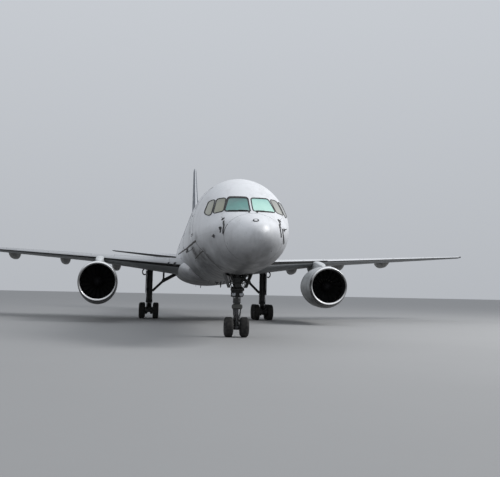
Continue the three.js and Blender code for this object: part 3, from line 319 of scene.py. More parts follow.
class Shape:
    """Points and faces, in full-size metres, that grow into one piece."""

    def __init__(self):
        self.points, self.faces, self.marks = [], [], []

    def add(self, points, faces, mark=0):
        base = len(self.points)
        self.points += [Vector(p) for p in points]
        self.faces += [tuple(base + i for i in face) for face in faces]
        self.marks += [mark] * len(faces)
        return self

    def face(self, corners, mark):
        self.faces.append(tuple(corners))
        self.marks.append(mark)

    def join(self, *others):
        for other in others:
            base = len(self.points)
            self.points += other.points
            self.faces += [tuple(base + i for i in face) for face in other.faces]
            self.marks += other.marks
        return self

    def bars(self, rows):
        """Adds round bars: one end, other end, radius, sides, mark."""
        return self.join(*[bar(a, b, radius, sides=sides, mark=mark) for a, b, radius, sides, mark in rows])

    def moved(self, matrix):
        new = Shape().join(self)
        new.points = [matrix @ p for p in new.points]
        if matrix.determinant() < 0:
            new.faces = [face[::-1] for face in new.faces]
        return new

    def on_side(self, sign):
        return self if sign > 0 else self.moved(Matrix.Diagonal((-1, 1, 1, 1)))


def loft(rows, mark=0, closed=True, ends=True):
    """A skin over rows of points, each row a closed ring unless closed is False."""
    count = len(rows[0])
    faces = []
    for r in range(len(rows) - 1):
        for i in range(count if closed else count - 1):
            j = (i + 1) % count
            faces.append((r * count + i, r * count + j, (r + 1) * count + j, (r + 1) * count + i))
    if closed and ends:
        faces.append(tuple(range(count))[::-1])
        faces.append(tuple((len(rows) - 1) * count + i for i in range(count)))
    return Shape().add([p for row in rows for p in row], faces, mark)


def ring(centre, direction, radius, sides):
    spin = Vector(direction).normalized().to_track_quat("Z", "Y").to_matrix()
    return [Vector(centre) + spin @ Vector((radius * c, radius * s, 0)) for c, s in circle(sides)]


def turned(profile, centre=(0, 0, 0), direction=(0, 1, 0), sides=48, mark=0):
    """A profile of (radius, distance along the axis) turned about it; ends with a radius of 0 close."""
    centre, along = Vector(centre), Vector(direction).normalized()
    rings = [ring(centre + along * far, along, max(radius, 1e-4), sides) for radius, far in profile]
    return loft(rings, mark)


def bar(a, b, radius, end_radius=None, sides=20, mark=0):
    """A round bar between two points, with its end edges eased."""
    a, b = Vector(a), Vector(b)
    length = (b - a).length
    end_radius = radius if end_radius is None else end_radius
    ease = min(0.08 * radius, 0.2 * length)
    profile = [(radius - ease, 0), (radius, ease), (end_radius, length - ease), (end_radius - ease, length)]
    return turned(profile, a, b - a, sides, mark)


def block(x0, x1, y0, y1, z0, z1, mark=0, ease=0.006):
    """A box with its edges eased."""
    x0, x1 = sorted((x0, x1))
    ease = min(ease, 0.3 * min(x1 - x0, y1 - y0, z1 - z0))
    rows = []
    for z, inset in ((z0, ease), (z0 + ease, 0), (z1 - ease, 0), (z1, ease)):
        corners = [(x0, y0, 1, 1), (x1, y0, -1, 1), (x1, y1, -1, -1), (x0, y1, 1, -1)]
        row = []
        for k, (x, y, sx, sy) in enumerate(corners):
            first = (x + sx * inset, y + sy * (inset + ease), z)
            second = (x + sx * (inset + ease), y + sy * inset, z)
            row += [first, second] if k % 2 == 0 else [second, first]
        rows.append([Vector(p) for p in row])
    return loft(rows, mark)


def tube(path, radius, sides=10, mark=0):
    """A round tube along a path of points."""
    path = [Vector(p) for p in path]
    rows = []
    for i, p in enumerate(path):
        ahead = path[min(i + 1, len(path) - 1)] - path[max(i - 1, 0)]
        rows.append(ring(p, ahead, radius, sides))
    return loft(rows, mark)


def hose(points, radius=0.012, mark=4, sides=8):
    """A flexible line through points, eased at its bends."""
    points = [Vector(p) for p in points]
    for _ in range(2):
        eased = [points[0]]
        for a, b in zip(points, points[1:]):
            eased += [a.lerp(b, 0.25), a.lerp(b, 0.75)]
        points = eased + [points[-1]]
    return tube(points, radius, sides, mark)


def ribbon(points, normals, width, rise=0.003, closed=False, mark=0, depth=0.01):
    """A thin raised strip along points of a surface."""
    rows, last = [], len(points) - 1
    for i, (point, normal) in enumerate(zip(points, normals)):
        before = points[i - 1] if i or closed else point
        after = points[(i + 1) % len(points)] if i < last or closed else point
        aside = (after - before).cross(normal).normalized() * (width / 2)
        low, high = normal * -depth, normal * rise
        rows.append([point - aside + low, point - aside + high, point + aside + high, point + aside + low])
    return loft(rows + [rows[0]], mark, ends=False) if closed else loft(rows, mark)


def rounded(corners, radius, longest=0.12, arc_steps=4):
    """A closed outline through flat corners, its corners rounded and its sides in short steps."""
    path, count = [], len(corners)
    corners = [Vector(c) for c in corners]
    for i, corner in enumerate(corners):
        before, after = corners[i - 1], corners[(i + 1) % count]
        a = corner + (before - corner).normalized() * radius
        b = corner + (after - corner).normalized() * radius
        for k in range(arc_steps + 1):
            t = k / arc_steps
            path.append(a * (1 - t) ** 2 + corner * (2 * t * (1 - t)) + b * t * t)
        end = after + (corner - after).normalized() * radius
        pieces = max(1, math.ceil((end - b).length / longest))
        path += [b.lerp(end, k / pieces) for k in range(1, pieces)]
    return path


def middle_of(outline):
    return sum(outline, Vector((0, 0))) / len(outline)


def grown(outline, amount, above=0.0):
    """A flat outline moved outward, and further where it faces up."""
    centre = middle_of(outline)
    new = []
    for i, p in enumerate(outline):
        along = (outline[(i + 1) % len(outline)] - outline[i - 1]).normalized()
        out = Vector((along.y, -along.x))
        out = out if out.dot(p - centre) > 0 else -out
        new.append(p + out * (amount + above * max(0.0, out.y)))
    return new


def inlay(outline, lay, glass_out=0.004, rim_out=0.010, rim=0.0, above=0.0, rings=(0.8, 0.5, 0.12)):
    """A pane laid on a surface and the rim around it; lay puts flat points on the surface at a height."""
    foot = -0.012
    centre = middle_of(outline)
    rows = [lay(outline, foot), lay(outline, glass_out)]
    rows += [lay([centre + (p - centre) * share for p in outline], glass_out) for share in rings]
    edge = grown(outline, rim, above)
    frame_rows = [lay(outline, foot), lay(outline, rim_out), lay(edge, rim_out), lay(edge, foot)]
    return loft(rows), loft(frame_rows + [frame_rows[0]], ends=False)


# Materials


class Paint:
    """A node material under construction: nodes read the object's own coordinates."""

    def __init__(self, name, roughness=0.5, metallic=0.0, **sockets):
        self.material = bpy.data.materials.new(name)
        self.material.use_nodes = True
        self.tree = self.material.node_tree
        self.shader = self.tree.nodes["Principled BSDF"]
        self.normal = None
        for socket, value in {"Roughness": roughness, "Metallic": metallic, **sockets}.items():
            self.shader.inputs[socket.replace("_", " ")].default_value = value
        self.coordinates = self.tree.nodes.new("ShaderNodeTexCoord").outputs["Object"]

    def node(self, kind, links=(), **settings):
        made = self.tree.nodes.new("ShaderNode" + kind)
        for name, value in settings.items():
            setattr(made, name, value)
        for socket, value in links:
            if isinstance(value, bpy.types.NodeSocket):
                self.tree.links.new(value, made.inputs[socket])
            elif value is not None:
                made.inputs[socket].default_value = value
        return made

    def noise(self, scale, stretch=None, detail=4.0, rough=0.55):
        vector = self.coordinates
        if stretch:
            vector = self.node("Mapping", [("Vector", vector), ("Scale", stretch)]).outputs[0]
        links = [("Vector", vector), ("Scale", scale), ("Detail", detail), ("Roughness", rough)]
        return self.node("TexNoise", links).outputs[0]

    def span(self, value, low, high, to_low=0.0, to_high=1.0):
        links = [(0, value), (1, low), (2, high), (3, to_low), (4, to_high)]
        return self.node("MapRange", links).outputs[0]

    def math(self, operation, a, b=0.5):
        return self.node("Math", [(0, a), (1, b)], operation=operation).outputs[0]

    def times(self, a, b):
        return self.math("MULTIPLY", a, b)

    def mix(self, share, a, b):
        colours = [(v if isinstance(v, bpy.types.NodeSocket) else (*v, 1)) for v in (a, b)]
        links = [(0, share), (6, colours[0]), (7, colours[1])]
        return self.node("Mix", links, data_type="RGBA").outputs[2]

    def over(self, base, mask, share, colour):
        """Lays a colour over another as far as a mask goes."""
        return self.mix(self.times(mask, share), base, colour)

    def axis(self, name):
        return self.node("SeparateXYZ", [(0, self.coordinates)]).outputs["XYZ".index(name)]

    def bump(self, height, strength, distance):
        links = [("Height", height), ("Strength", strength), ("Distance", distance), ("Normal", self.normal)]
        self.normal = self.node("Bump", links).outputs[0]
        self.set("Normal", self.normal)

    def set(self, socket, value):
        self.tree.links.new(value, self.shader.inputs[socket])

    def set_roughness(self, scale, detail, low, high):
        self.set("Roughness", self.span(self.noise(scale, detail=detail), 0.3, 0.7, low, high))

    def lines(self, value, period, width):
        """1 along thin lines that come every period, else 0."""
        turn = self.math("PINGPONG", value, period / 2)
        return self.math("LESS_THAN", turn, width / 2)


SOOT, GRIME = (0.035, 0.032, 0.029), (0.16, 0.145, 0.125)


def darker(colour, share):
    return [c * share for c in colour]


def weathered(name, colour, roughness=0.38, soil=0.5, streak=(2.2, 0.25, 0.9), seams=(), low=None, spots=(),
              **sockets):
    """Paint with mottling, streaks, specks and skin seams.

    low is the heights between which painted shade, with some grime, takes over from above to below, and the
    share of the colour that it leaves; spots are scuffed places as (point, radius, share).
    """
    p = Paint(name, roughness, **sockets)
    blotch = p.span(p.noise(0.9, detail=5), 0.35, 0.7)
    base = p.over(colour, blotch, 0.30, darker(colour, 0.84))
    streaks = p.span(p.noise(3.0, streak, detail=6, rough=0.62), 0.52, 0.78)
    base = p.over(base, streaks, 0.5 * soil, GRIME)
    fall = p.span(p.noise(7.0, (1.0, 1.0, 0.09), detail=3), 0.56, 0.8)
    base = p.over(base, fall, 0.30 * soil, darker(GRIME, 0.9))
    specks = p.span(p.noise(60.0, detail=2, rough=0.4), 0.66, 0.72)
    base = p.over(base, specks, 0.35 * soil, GRIME)
    if low:
        # Painted shade with some grime: the colour darkens between the two heights.
        shade_free_height, full_shade_height, left = low
        wander = p.span(p.noise(1.7, (1, 0.4, 1), detail=5), 0.3, 0.7, -0.12, 0.12)
        under = p.span(p.math("ADD", p.axis("Z"), wander), shade_free_height, full_shade_height)
        base = p.over(base, under, 0.92, darker(colour, left))
    for point, radius, share in spots:
        offset = p.node("VectorMath", [(0, p.coordinates), (1, place(*point))], operation="DISTANCE")
        near = p.span(offset.outputs["Value"], radius * SCALE, 0.25 * radius * SCALE)
        torn = p.span(p.noise(4.6, (1, 0.13, 1), detail=7, rough=0.62), 0.43, 0.54)
        base = p.over(base, p.times(near, torn), share, SOOT)
    relief = None
    for axis, period, width in seams:
        lines = p.lines(p.axis(axis), period, width)
        base = p.over(base, lines, 0.33, GRIME)
        relief = lines if relief is None else p.math("MAXIMUM", relief, lines)
    if relief is not None:
        p.bump(p.math("SUBTRACT", 1.0, relief), 0.2, 0.002)
    p.set("Base Color", base)
    p.set_roughness(5.0, 5, roughness - 0.08, roughness + 0.14)
    p.bump(p.noise(1.6, detail=2), 0.10, 0.02)
    return p.material


def metal(name, colour, roughness, soil=0.3, scale=9.0, stretch=None):
    p = Paint(name, roughness, metallic=1.0)
    wear = p.span(p.noise(scale, stretch, detail=6, rough=0.65), 0.45, 0.75)
    p.set("Base Color", p.over(colour, wear, soil, SOOT))
    p.set_roughness(scale * 1.7, 4, roughness * 0.7, roughness * 1.6)
    p.bump(p.noise(scale * 8, detail=3), 0.08, 0.002)
    return p.material


def matt(name, colour, roughness=0.7, soil=0.35, scale=12.0, bump=0.15, **sockets):
    p = Paint(name, roughness, **sockets)
    dust = p.span(p.noise(scale, detail=6, rough=0.6), 0.4, 0.75)
    p.set("Base Color", p.over(colour, dust, soil, GRIME))
    p.set_roughness(scale * 2, 4, roughness - 0.12, min(1.0, roughness + 0.12))
    p.bump(p.noise(scale * 5, detail=3), bump, 0.003)
    return p.material


def glass(name, colour, deep, top, bottom):
    """Coated glass with painted reflections in its colour: darker towards its upper edge, painted shade, and
    mottled in patches.
    """
    p = Paint(name, 0.08, Coat_Weight=0.7, Coat_Roughness=0.03, Specular_IOR_Level=0.6)
    rise = p.span(p.axis("Z"), bottom * SCALE, top * SCALE)
    mottled_reflection = p.span(p.noise(4.0, (1.2, 1, 1.0), detail=5, rough=0.6), 0.35, 0.65)
    share = p.math("ADD", p.times(p.math("POWER", rise, 3.0), 0.75), p.times(mottled_reflection, 0.30))
    p.set("Base Color", p.mix(share, colour, deep))
    p.set_roughness(14.0, 4, 0.05, 0.16)
    return p.material


def floor_paint():
    p = Paint("pale_floor", 0.85)
    p.set("Base Color", p.mix(p.noise(0.3, detail=5), (0.31, 0.31, 0.31), (0.34, 0.34, 0.34)))
    p.bump(p.noise(9.0, detail=4), 0.1, 0.01)
    return p.material


WHITE = (0.77, 0.78, 0.80)
# Seams: axis, distance between them and width, on the half-size model
SKIN_SEAMS = (("Y", 1.10, 0.004), ("Z", 0.62, 0.003))
WING_SEAMS = (("X", 1.24, 0.003),)
TAIL_SEAMS = (("Z", 0.7, 0.003),)
WING_STREAK, TAIL_STREAK, LIP_STREAK = (2.5, 0.5, 1), (1, 0.4, 1.6), (6, 6, 6)
# Scuffed places on the right side of the nose: point, radius, share
SCUFFS = [
    ((-1.56, 6.9, 3.18), 1.3, 0.95), ((-1.42, 5.2, 3.05), 0.8, 0.9), ((-1.30, 3.9, 3.05), 0.6, 0.75),
    ((-1.05, 4.1, 2.77), 0.45, 0.7), ((-0.80, 4.2, 2.61), 0.4, 0.6), ((-1.62, 4.6, 3.48), 0.6, 0.5),
]
M = {
    # Body, radome and fairing: low darkens their lower parts to a few hundredths of their colour, painted
    # shade under the fuselage with some grime.
    "body": weathered("white_paint_body_shaded_below", WHITE, low=(2.02, 1.34, 0.02), seams=SKIN_SEAMS, spots=SCUFFS),
    "radome": weathered("white_paint_radome_shaded_below", (0.755, 0.765, 0.785), 0.34, soil=0.6, low=(1.96, 1.36, 0.015)),
    "fairing": weathered("white_paint_fairing_shaded_below", WHITE, 0.42, soil=0.8, low=(1.80, 1.14, 0.08),
                         seams=SKIN_SEAMS),
    "wing": weathered("grey_white_wing", (0.62, 0.63, 0.65), streak=WING_STREAK, seams=WING_SEAMS),
    # The upper band of the leading edges is painted lighter than the wing, a painted highlight; the right
    # wing gets a darker copy, painted shade.
    "edge": weathered("lit_leading_edge", (0.70, 0.71, 0.73), 0.34, soil=0.4, streak=(5, 1, 2),
                      Metallic=0.15),
    "shaded_edge": weathered("shaded_leading_edge", (0.44, 0.45, 0.465), 0.4, streak=(5, 1, 2)),
    # A near-black line along the leading edges: painted shade.
    "edge_shade_line": matt("leading_edge_shade_line", (0.012, 0.0125, 0.013), 0.85, soil=0.1, Specular_IOR_Level=0.2),
    # Near-black, painted shade: the undersides of the stabilisers and elevators, and the outsides of the open
    # nose wheel doors.
    "near_black_shade": weathered("white_paint_darkened_as_shade", (0.022, 0.023, 0.023), 0.5, soil=0.4),
    # Dark grey paint of the lower surfaces, darkened to stand for their shade: partly painted shade.
    "under": weathered("grey_underside_and_painted_shade", (0.20, 0.21, 0.215), 0.5, soil=0.7, streak=WING_STREAK,
                       seams=WING_SEAMS),
    "flap": weathered("grey_paint_flap", (0.52, 0.54, 0.56), 0.45, soil=0.7, streak=(2.8, 0.4, 1)),
    "canoe": weathered("grey_paint_canoe", (0.25, 0.25, 0.24), 0.5, soil=0.6, streak=(3, 0.5, 2)),
    "tail": weathered("white_paint_tail", (0.66, 0.67, 0.69), soil=0.4, streak=TAIL_STREAK, seams=TAIL_SEAMS),
    # Grey-blue paint of the fin and rudder, darkened to stand for the shade on the fin's side: partly painted
    # shade.
    "fin": weathered("grey_blue_fin_darkened_as_shade", (0.105, 0.125, 0.155), soil=0.4, streak=TAIL_STREAK,
                     seams=TAIL_SEAMS),
    # low darkens the lower part of the nacelles and pylons: painted shade.
    "cowl": weathered("grey_paint_cowl_shaded_below", (0.60, 0.62, 0.63), 0.34, soil=1.0, streak=(4, 0.5, 3),
                      low=(1.50, 0.70, 0.08)),
    # The lip's front is near-white, a painted highlight, darkened above as painted shade; its outside turns
    # near-black below, a painted reflection of the ground.
    "lip": weathered("lip_painted_light", (0.97, 0.97, 0.97), 0.22, soil=0.1, streak=LIP_STREAK, Metallic=0.1,
                     low=(0.74, 1.12, 0.12)),
    "lip_side": weathered("lip_side_painted_light", (0.93, 0.935, 0.94), 0.24, soil=0.3, streak=LIP_STREAK,
                          Metallic=0.3, low=(1.52, 1.22, 0.02)),
    "nozzle": metal("heat_stained_nozzle", (0.42, 0.38, 0.34), 0.34, soil=0.5, stretch=(1, 0.2, 1)),
    # Near-black insides of the engines and the tail exhaust, fan blades, spinners and guide vanes: painted
    # shade.
    "duct": matt("duct_painted_shade", (0.004, 0.0045, 0.005), 0.8, soil=0.03),
    "blade": matt("fan_blade", (0.006, 0.0065, 0.007), 0.8, soil=0.05, Specular_IOR_Level=0.25),
    "spinner": matt("spinner_painted_shade", (0.004, 0.004, 0.005), 0.85, soil=0.03, Specular_IOR_Level=0.15),
    "core": metal("core_case", (0.2, 0.19, 0.18), 0.45, soil=0.5),
    # The gear's paint and its chrome are made near-black: painted shade under the aircraft.
    "gear": matt("gear_paint_darkened_as_shade", (0.015, 0.016, 0.017), 0.5, soil=0.2),
    "gear_pale": matt("gear_pale_paint", (0.045, 0.047, 0.045), 0.5, soil=0.3),
    "chrome": metal("piston_chrome_darkened_as_shade", (0.09, 0.09, 0.095), 0.25, soil=0.6),
    "steel": metal("worn_steel", (0.09, 0.09, 0.095), 0.42, soil=0.5, scale=30),
    "rubber": matt("tyre_rubber", (0.012, 0.012, 0.013), 0.9, soil=0.25, scale=20, bump=0.3),
    "seal": matt("black_seal", (0.012, 0.012, 0.013), 0.6, soil=0.2),
    "line": matt("seam_line", (0.13, 0.13, 0.135), 0.75, soil=0.3),
    "stain": matt("grime_line", (0.045, 0.043, 0.040), 0.8, soil=0.5, scale=30),
    "inside": matt("primer_green", (0.18, 0.20, 0.13), soil=0.5),
    "well": matt("well_shadow_paint", (0.05, 0.052, 0.05), 0.75, soil=0.5),
    "disc": matt("white_disc", (0.85, 0.86, 0.88), 0.3, soil=0.1),
    "lamp": metal("lamp_reflector", (0.34, 0.35, 0.37), 0.12, soil=0.5),
    "cabin": matt("cabin_glass", (0.022, 0.026, 0.032), 0.12, soil=0.25, bump=0.02),
    # Pane tints are painted reflections: the right side's darker, in shade, the left side's paler, lit; the
    # side panes' tints are partly the shades behind them.
    "teal": glass("front_glass_starboard_shaded_reflection", (0.085, 0.29, 0.255), (0.02, 0.09, 0.085), 4.98, 4.42),
    "mint": glass("front_glass_port_lit_reflection", (0.50, 0.80, 0.69), (0.22, 0.50, 0.44), 4.98, 4.42),
    "khaki": glass("side_glass_starboard_shaded", (0.26, 0.26, 0.16), (0.09, 0.09, 0.055), 5.0, 4.4),
    "beige": glass("side_glass_port_lit", (0.42, 0.41, 0.35), (0.20, 0.20, 0.17), 5.0, 4.4),
    "red": glass("red_lens", (0.35, 0.015, 0.01), (0.2, 0.01, 0.01), 6, 0),
}


def piece(name, shape, materials, body, replaces=()):
    """Puts a shape in the scene as one object on a body."""
    mesh = bpy.data.meshes.new(name)
    mesh.from_pydata([place(*p) for p in shape.points], [], shape.faces)
    for material in materials:
        mesh.materials.append(M[material])
    mesh.polygons.foreach_set("material_index", shape.marks)
    mesh.polygons.foreach_set("use_smooth", [True] * len(mesh.polygons))
    mesh.validate()
    outward(mesh)
    mesh.set_sharp_from_angle(angle=CREASE)
    obj = bpy.data.objects.new(name, mesh)
    bpy.context.scene.collection.objects.link(obj)
    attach(obj, body)
    if replaces:
        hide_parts(*replaces)


def fixed_piece(name, shape, materials, replaces=()):
    piece(name, shape, materials, "airframe", replaces)


def skin_piece(node, shape, materials, body="airframe"):
    """The piece that takes the place of one solid."""
    piece(f"{node}_skin", shape, materials, body, [node])


def outward(mesh):
    """Joins points that coincide and turns every closed shell's faces outward."""
    work = bmesh.new()
    work.from_mesh(mesh)
    bmesh.ops.remove_doubles(work, verts=work.verts, dist=2e-5)
    bmesh.ops.recalc_face_normals(work, faces=work.faces)
    work.to_mesh(mesh)
    work.free()


# Fuselage


def skin(y, degrees, out=0.0):
    """A point of the fuselage's skin, at an angle from the left side over the top."""
    half_width, crown, keel, waist = body_section(y)
    c, s = math.cos(math.radians(degrees)), math.sin(math.radians(degrees))
    reach = crown - waist if s > 0 else waist - keel
    radius = 1 / math.sqrt((c / half_width) ** 2 + (s / reach) ** 2) + out
    return Vector((radius * c, y, waist + radius * s))


def skin_normal(y, degrees):
    along = skin(y + 0.01, degrees) - skin(max(y - 0.01, 0.0), degrees)
    around = skin(y, degrees + 0.5) - skin(y, degrees - 0.5)
    normal = along.cross(around).normalized()
    turn = math.radians(degrees)
    return normal if normal.dot(Vector((math.cos(turn), 0, math.sin(turn)))) > 0 else -normal


def side_degrees(y, z, sign):
    """The angle at which the skin of one side passes a height."""
    half_width, crown, keel, waist = body_section(y)
    rise = (z - waist) / ((crown - waist) if z > waist else (waist - keel))
    rise = max(-1.0, min(1.0, rise))
    return math.degrees(math.atan2(z - waist, sign * half_width * math.sqrt(1 - rise * rise)))


def front_spot(x, z):
    """Where the skin of the nose is met from straight ahead: station and angle."""
    ahead, behind = 0.0, 8.6
    for _ in range(26):
        y = (ahead + behind) / 2
        half_width, crown, keel, waist = body_section(y)
        reach = crown - waist if z > waist else waist - keel
        if (x / half_width) ** 2 + ((z - waist) / reach) ** 2 < 1:
            behind = y
        else:
            ahead = y
    return behind, math.degrees(math.atan2(z - body_section(behind)[3], x))


def skin_ribbon(spots, width, closed=False, mark=0, rise=0.003):
    """A strip over (station, angle) spots of the fuselage."""
    return ribbon([skin(*s) for s in spots], [skin_normal(*s) for s in spots], width, rise, closed, mark)


def side_ribbon(spots, sign, width, closed=False, mark=0, rise=0.003):
    """A strip over (station, height) spots of one side."""
    return skin_ribbon([(y, side_degrees(y, z, sign)) for y, z in spots], width, closed, mark, rise)


def body_shape(stations, angles, opening=None):
    """The skin over stations and angles, with a recess: (y0, y1, deg0, deg1, inner point of (y, deg))."""
    count = len(angles)
    index = {}
    shape = Shape()
    shape.points = [skin(y, a) for y in stations for a in angles]
    y0, y1, low, high, inner_point = opening or (0, 0, 0, 0, None)

    def inner(r, i):
        if (r, i) not in index:
            index[r, i] = len(shape.points)
            shape.points.append(inner_point(stations[r], angles[i]))
        return index[r, i]

    for r in range(len(stations) - 1):
        for i in range(count):
            j = (i + 1) % count
            a0, a1 = angles[i], angles[j] + (360 if j == 0 else 0)
            cell = [(r, i), (r, j), (r + 1, j), (r + 1, i)]
            outer = [a * count + b for a, b in cell]
            if not (y0 < (stations[r] + stations[r + 1]) / 2 < y1 and low < (a0 + a1) / 2 < high):
                shape.face(outer, 0)
                continue
            deep = [inner(a, b) for a, b in cell]
            shape.face(deep, 1)
            edges = [(0, 1, stations[r] <= y0 + 1e-6), (3, 2, stations[r + 1] >= y1 - 1e-6),
                     (0, 3, a0 <= low + 1e-6), (1, 2, a1 >= high - 1e-6)]
            for a, b, at_edge in edges:
                if at_edge:
                    shape.face((outer[a], outer[b], deep[b], deep[a]), 1)
    last = (len(stations) - 1) * count
    shape.face(range(count - 1, -1, -1), 0)
    shape.face(range(last, last + count), 0)
    return shape


def slab(y0, y1, deg0, deg1, out0, out1, mark=0, inner_mark=1):
    """A closed plate that follows the skin between two depths."""
    stations, angles, depths = steps(y0, y1, 0.12), steps(deg0, deg1, 3.0), (out0, out1)
    walls = [([[skin(y, a, out1) for a in angles] for y in stations], mark),
             ([[skin(y, a, out0) for a in angles][::-1] for y in stations], inner_mark)]
    walls += [([[skin(y, a, out) for out in depths] for y in stations], inner_mark) for a in (deg0, deg1)]
    walls += [([[skin(y, a, out) for a in angles] for out in depths], inner_mark) for y in (y0, y1)]
    return Shape().join(*[loft(rows, look, closed=False) for rows, look in walls])


def door_opening(door):
    gap = math.degrees(RUNNING_GAP / 1.9)
    return (door["from"] - RUNNING_GAP, door["to"] + RUNNING_GAP,
            180 + door["head"] - gap, 180 + door["sill"] + gap, lambda y, a: skin(y, a, -RECESS_DEPTH))


def build_fuselage():
    stations = [(i / 20) ** 2 for i in range(20)] + [RADOME_END - JOINT_GAP]
    skin_piece("radome", body_shape(stations, BODY_ANGLES), ["radome"])
    half = NOSE_WELL["half_degrees"]
    well = (NOSE_WELL["front"], NOSE_WELL["back"], 270 - half, 270 + half,
            lambda y, a: Vector((*skin(y, a).xy, NOSE_WELL["roof"])))
    stations = merged(steps(RADOME_END, NOSE_END - JOINT_GAP, 0.1), well[:2])
    clear = [a for a in BODY_ANGLES if abs(a - 270) > half + 1]
    angles = merged(clear, well[2:4], steps(*well[2:4], 3.8))
    skin_piece("forward_fuselage", body_shape(stations, angles, well), ["body", "well"])
    for name, start, end, door in (("centre", NOSE_END, BARREL_END - JOINT_GAP, "forward"),
                                   ("aft", BARREL_END, TAIL_END - JOINT_GAP, "aft")):
        hole = door_opening(CARGO_DOORS[door])
        stations = merged(steps(start, end, 0.3), hole[:2])
        clear = [a for a in BODY_ANGLES if min(abs(a - hole[2]), abs(a - hole[3])) > 1]
        shape = body_shape(stations, merged(clear, hole[2:4]), hole)
        skin_piece(f"{name}_fuselage", shape, ["body", "inside"])
    skin_piece("tail_cone", body_shape(steps(TAIL_END, BODY_END, 0.1), BODY_ANGLES), ["flap"])


def build_belly_fairing():
    rows = []
    for y in steps(FAIRING[0][0], FAIRING[-1][0], 0.2):
        half_width, crown, keel, waist = fairing_section(y)
        rows.append([Vector((half_width * c, y, waist + (crown - waist if s > 0 else waist - keel) * s))
                     for c, s in circle(72)])
    skin_piece("belly_fairing", loft(rows), ["fairing"])


def build_cargo_doors():
    for name, door in CARGO_DOORS.items():
        start, end = door["from"], door["to"]
        head, sill = 180 + door["head"], 180 + door["sill"]
        half_width, _, keel, waist = body_section(start)
        turn = math.radians(door["head"] + DOOR_HINGE["below"])
        x = -(half_width + DOOR_HINGE["proud"]) * math.cos(turn)
        z = waist - (waist - keel + DOOR_HINGE["proud"]) * math.sin(turn)
        middle = (start + end) / 2
        panel = slab(start, end, head, sill, -DOOR_THICKNESS, 0)
        half, clear = DOOR_RIB["half_width"], DOOR_RIB["clear_degrees"]
        for y in (start + DOOR_RIB["inset"], middle, end - DOOR_RIB["inset"]):
            panel.join(slab(y - half, y + half, head + clear, sill - clear, DOOR_RIB["inner"],
                            DOOR_RIB["outer"], 1, 1))
        knuckles = steps(start, end, 0.24)
        for a, b in zip(knuckles, knuckles[1:]):
            panel.join(bar((x, a + 0.004, z), (x, b - 0.004, z), DOOR_HINGE["knuckle"] * 0.9, mark=2))
        panel.join(bar((x, start - 0.09, z), (x, end + 0.09, z), 0.016, mark=2))
        latch = sill - 6
        panel.join(slab(middle - 0.09, middle + 0.09, latch - 1.2, latch + 1.2, 0, 0.006, 2, 2))
        node = f"cargo_door_{name}"
        skin_piece(node, panel, ["body", "inside", "line"], node)


def lay_on_side(sign):
    """Lays flat (station, height) points on one side of the fuselage."""
    return lambda points, out: [skin(p.x, side_degrees(p.x, p.y, sign), out) for p in points]


def lay_from_ahead(sign):
    """Lays flat (x, z) points on the nose."""
    return lambda points, out: [skin(*front_spot(sign * p.x, p.y), out) for p in points]


def wiper_shape(sign):
    """A pivot below the pane, an arm and a blade."""
    def spot(x, z, out):
        return skin(*front_spot(sign * x, z), out)

    pivot, bend, end, foot, extent = WIPER
    wiper = bar(spot(*pivot, 0.0), spot(*pivot, 0.05), 0.028, sides=16)
    wiper.join(tube([spot(*pivot, 0.045), spot(*bend, 0.05), spot(*end, 0.035)], 0.010, 8))
    blade = [spot(foot[0] + extent[0] * i / 10, foot[1] + extent[1] * i / 10, 0.022) for i in range(11)]
    return wiper.join(tube(blade, 0.011, 8))


def build_cockpit():
    """Six panes with dark seals, wipers below the front ones."""
    for side, sign in SIDES:
        front_glass, side_glass, seal, brow = PANE_LOOKS[side]
        seals = Shape()
        for name, corners in PANES.items():
            front = name == "front"
            pane, rim = inlay(rounded(corners, 0.07), lay_from_ahead(sign), 0.003, 0.012,
                              seal if front else seal * 0.6, brow if front else 0.0)
            seals.join(rim)
            fixed_piece(f"cockpit_pane_{name}_{side}", pane, [front_glass if front else side_glass],
                        ["cockpit_windows"])
        fixed_piece(f"cockpit_seals_{side}", seals, ["seal"], ["cockpit_windows"])
        fixed_piece(f"wiper_{side}", wiper_shape(sign), ["seal"])
    post = WINDSCREEN_POST
    spots = [front_spot(0, post["foot"] + post["height"] * i / 8) for i in range(9)]
    fixed_piece("windscreen_post", skin_ribbon(spots, post["width"], rise=0.006), ["body"])


def probe(y, z, sign, height, length):
    """An air data probe: a swept mast off the skin with a tube that points ahead."""
    degrees = side_degrees(y, z, sign)
    foot, normal = skin(y, degrees, -0.01), skin_normal(y, degrees)
    head = foot + normal * height + Vector((0, -0.05, 0))
    rows = []
    for centre, chord, thick in ((foot, 0.15, 0.022), (head, 0.07, 0.016)):
        up = normal.cross(AFT).normalized()
        rows.append([centre + AFT * (chord * c / 2) + up * (thick * s) for c, s in circle(14)])
    shape = loft(rows)
    shape.join(bar(head + Vector((0, 0.04, 0)), head + Vector((0, -length, 0)), 0.017, 0.011, 12))
    plate = [skin(y + 0.10 * c, degrees + 3.2 * s) for c, s in circle(16)]
    return shape.join(loft([[p - normal * 0.01 for p in plate], [p + normal * 0.005 for p in plate]], 1))


def side_strip(spots, sign, width=0.060, rise=0.018):
    """A dark strip through (station, height) spots on one side of the nose."""
    course = Smooth([(i, *spot) for i, spot in enumerate(spots)])
    return side_ribbon([course(i / 4) for i in range(4 * len(spots) - 3)], sign, width, rise=rise)


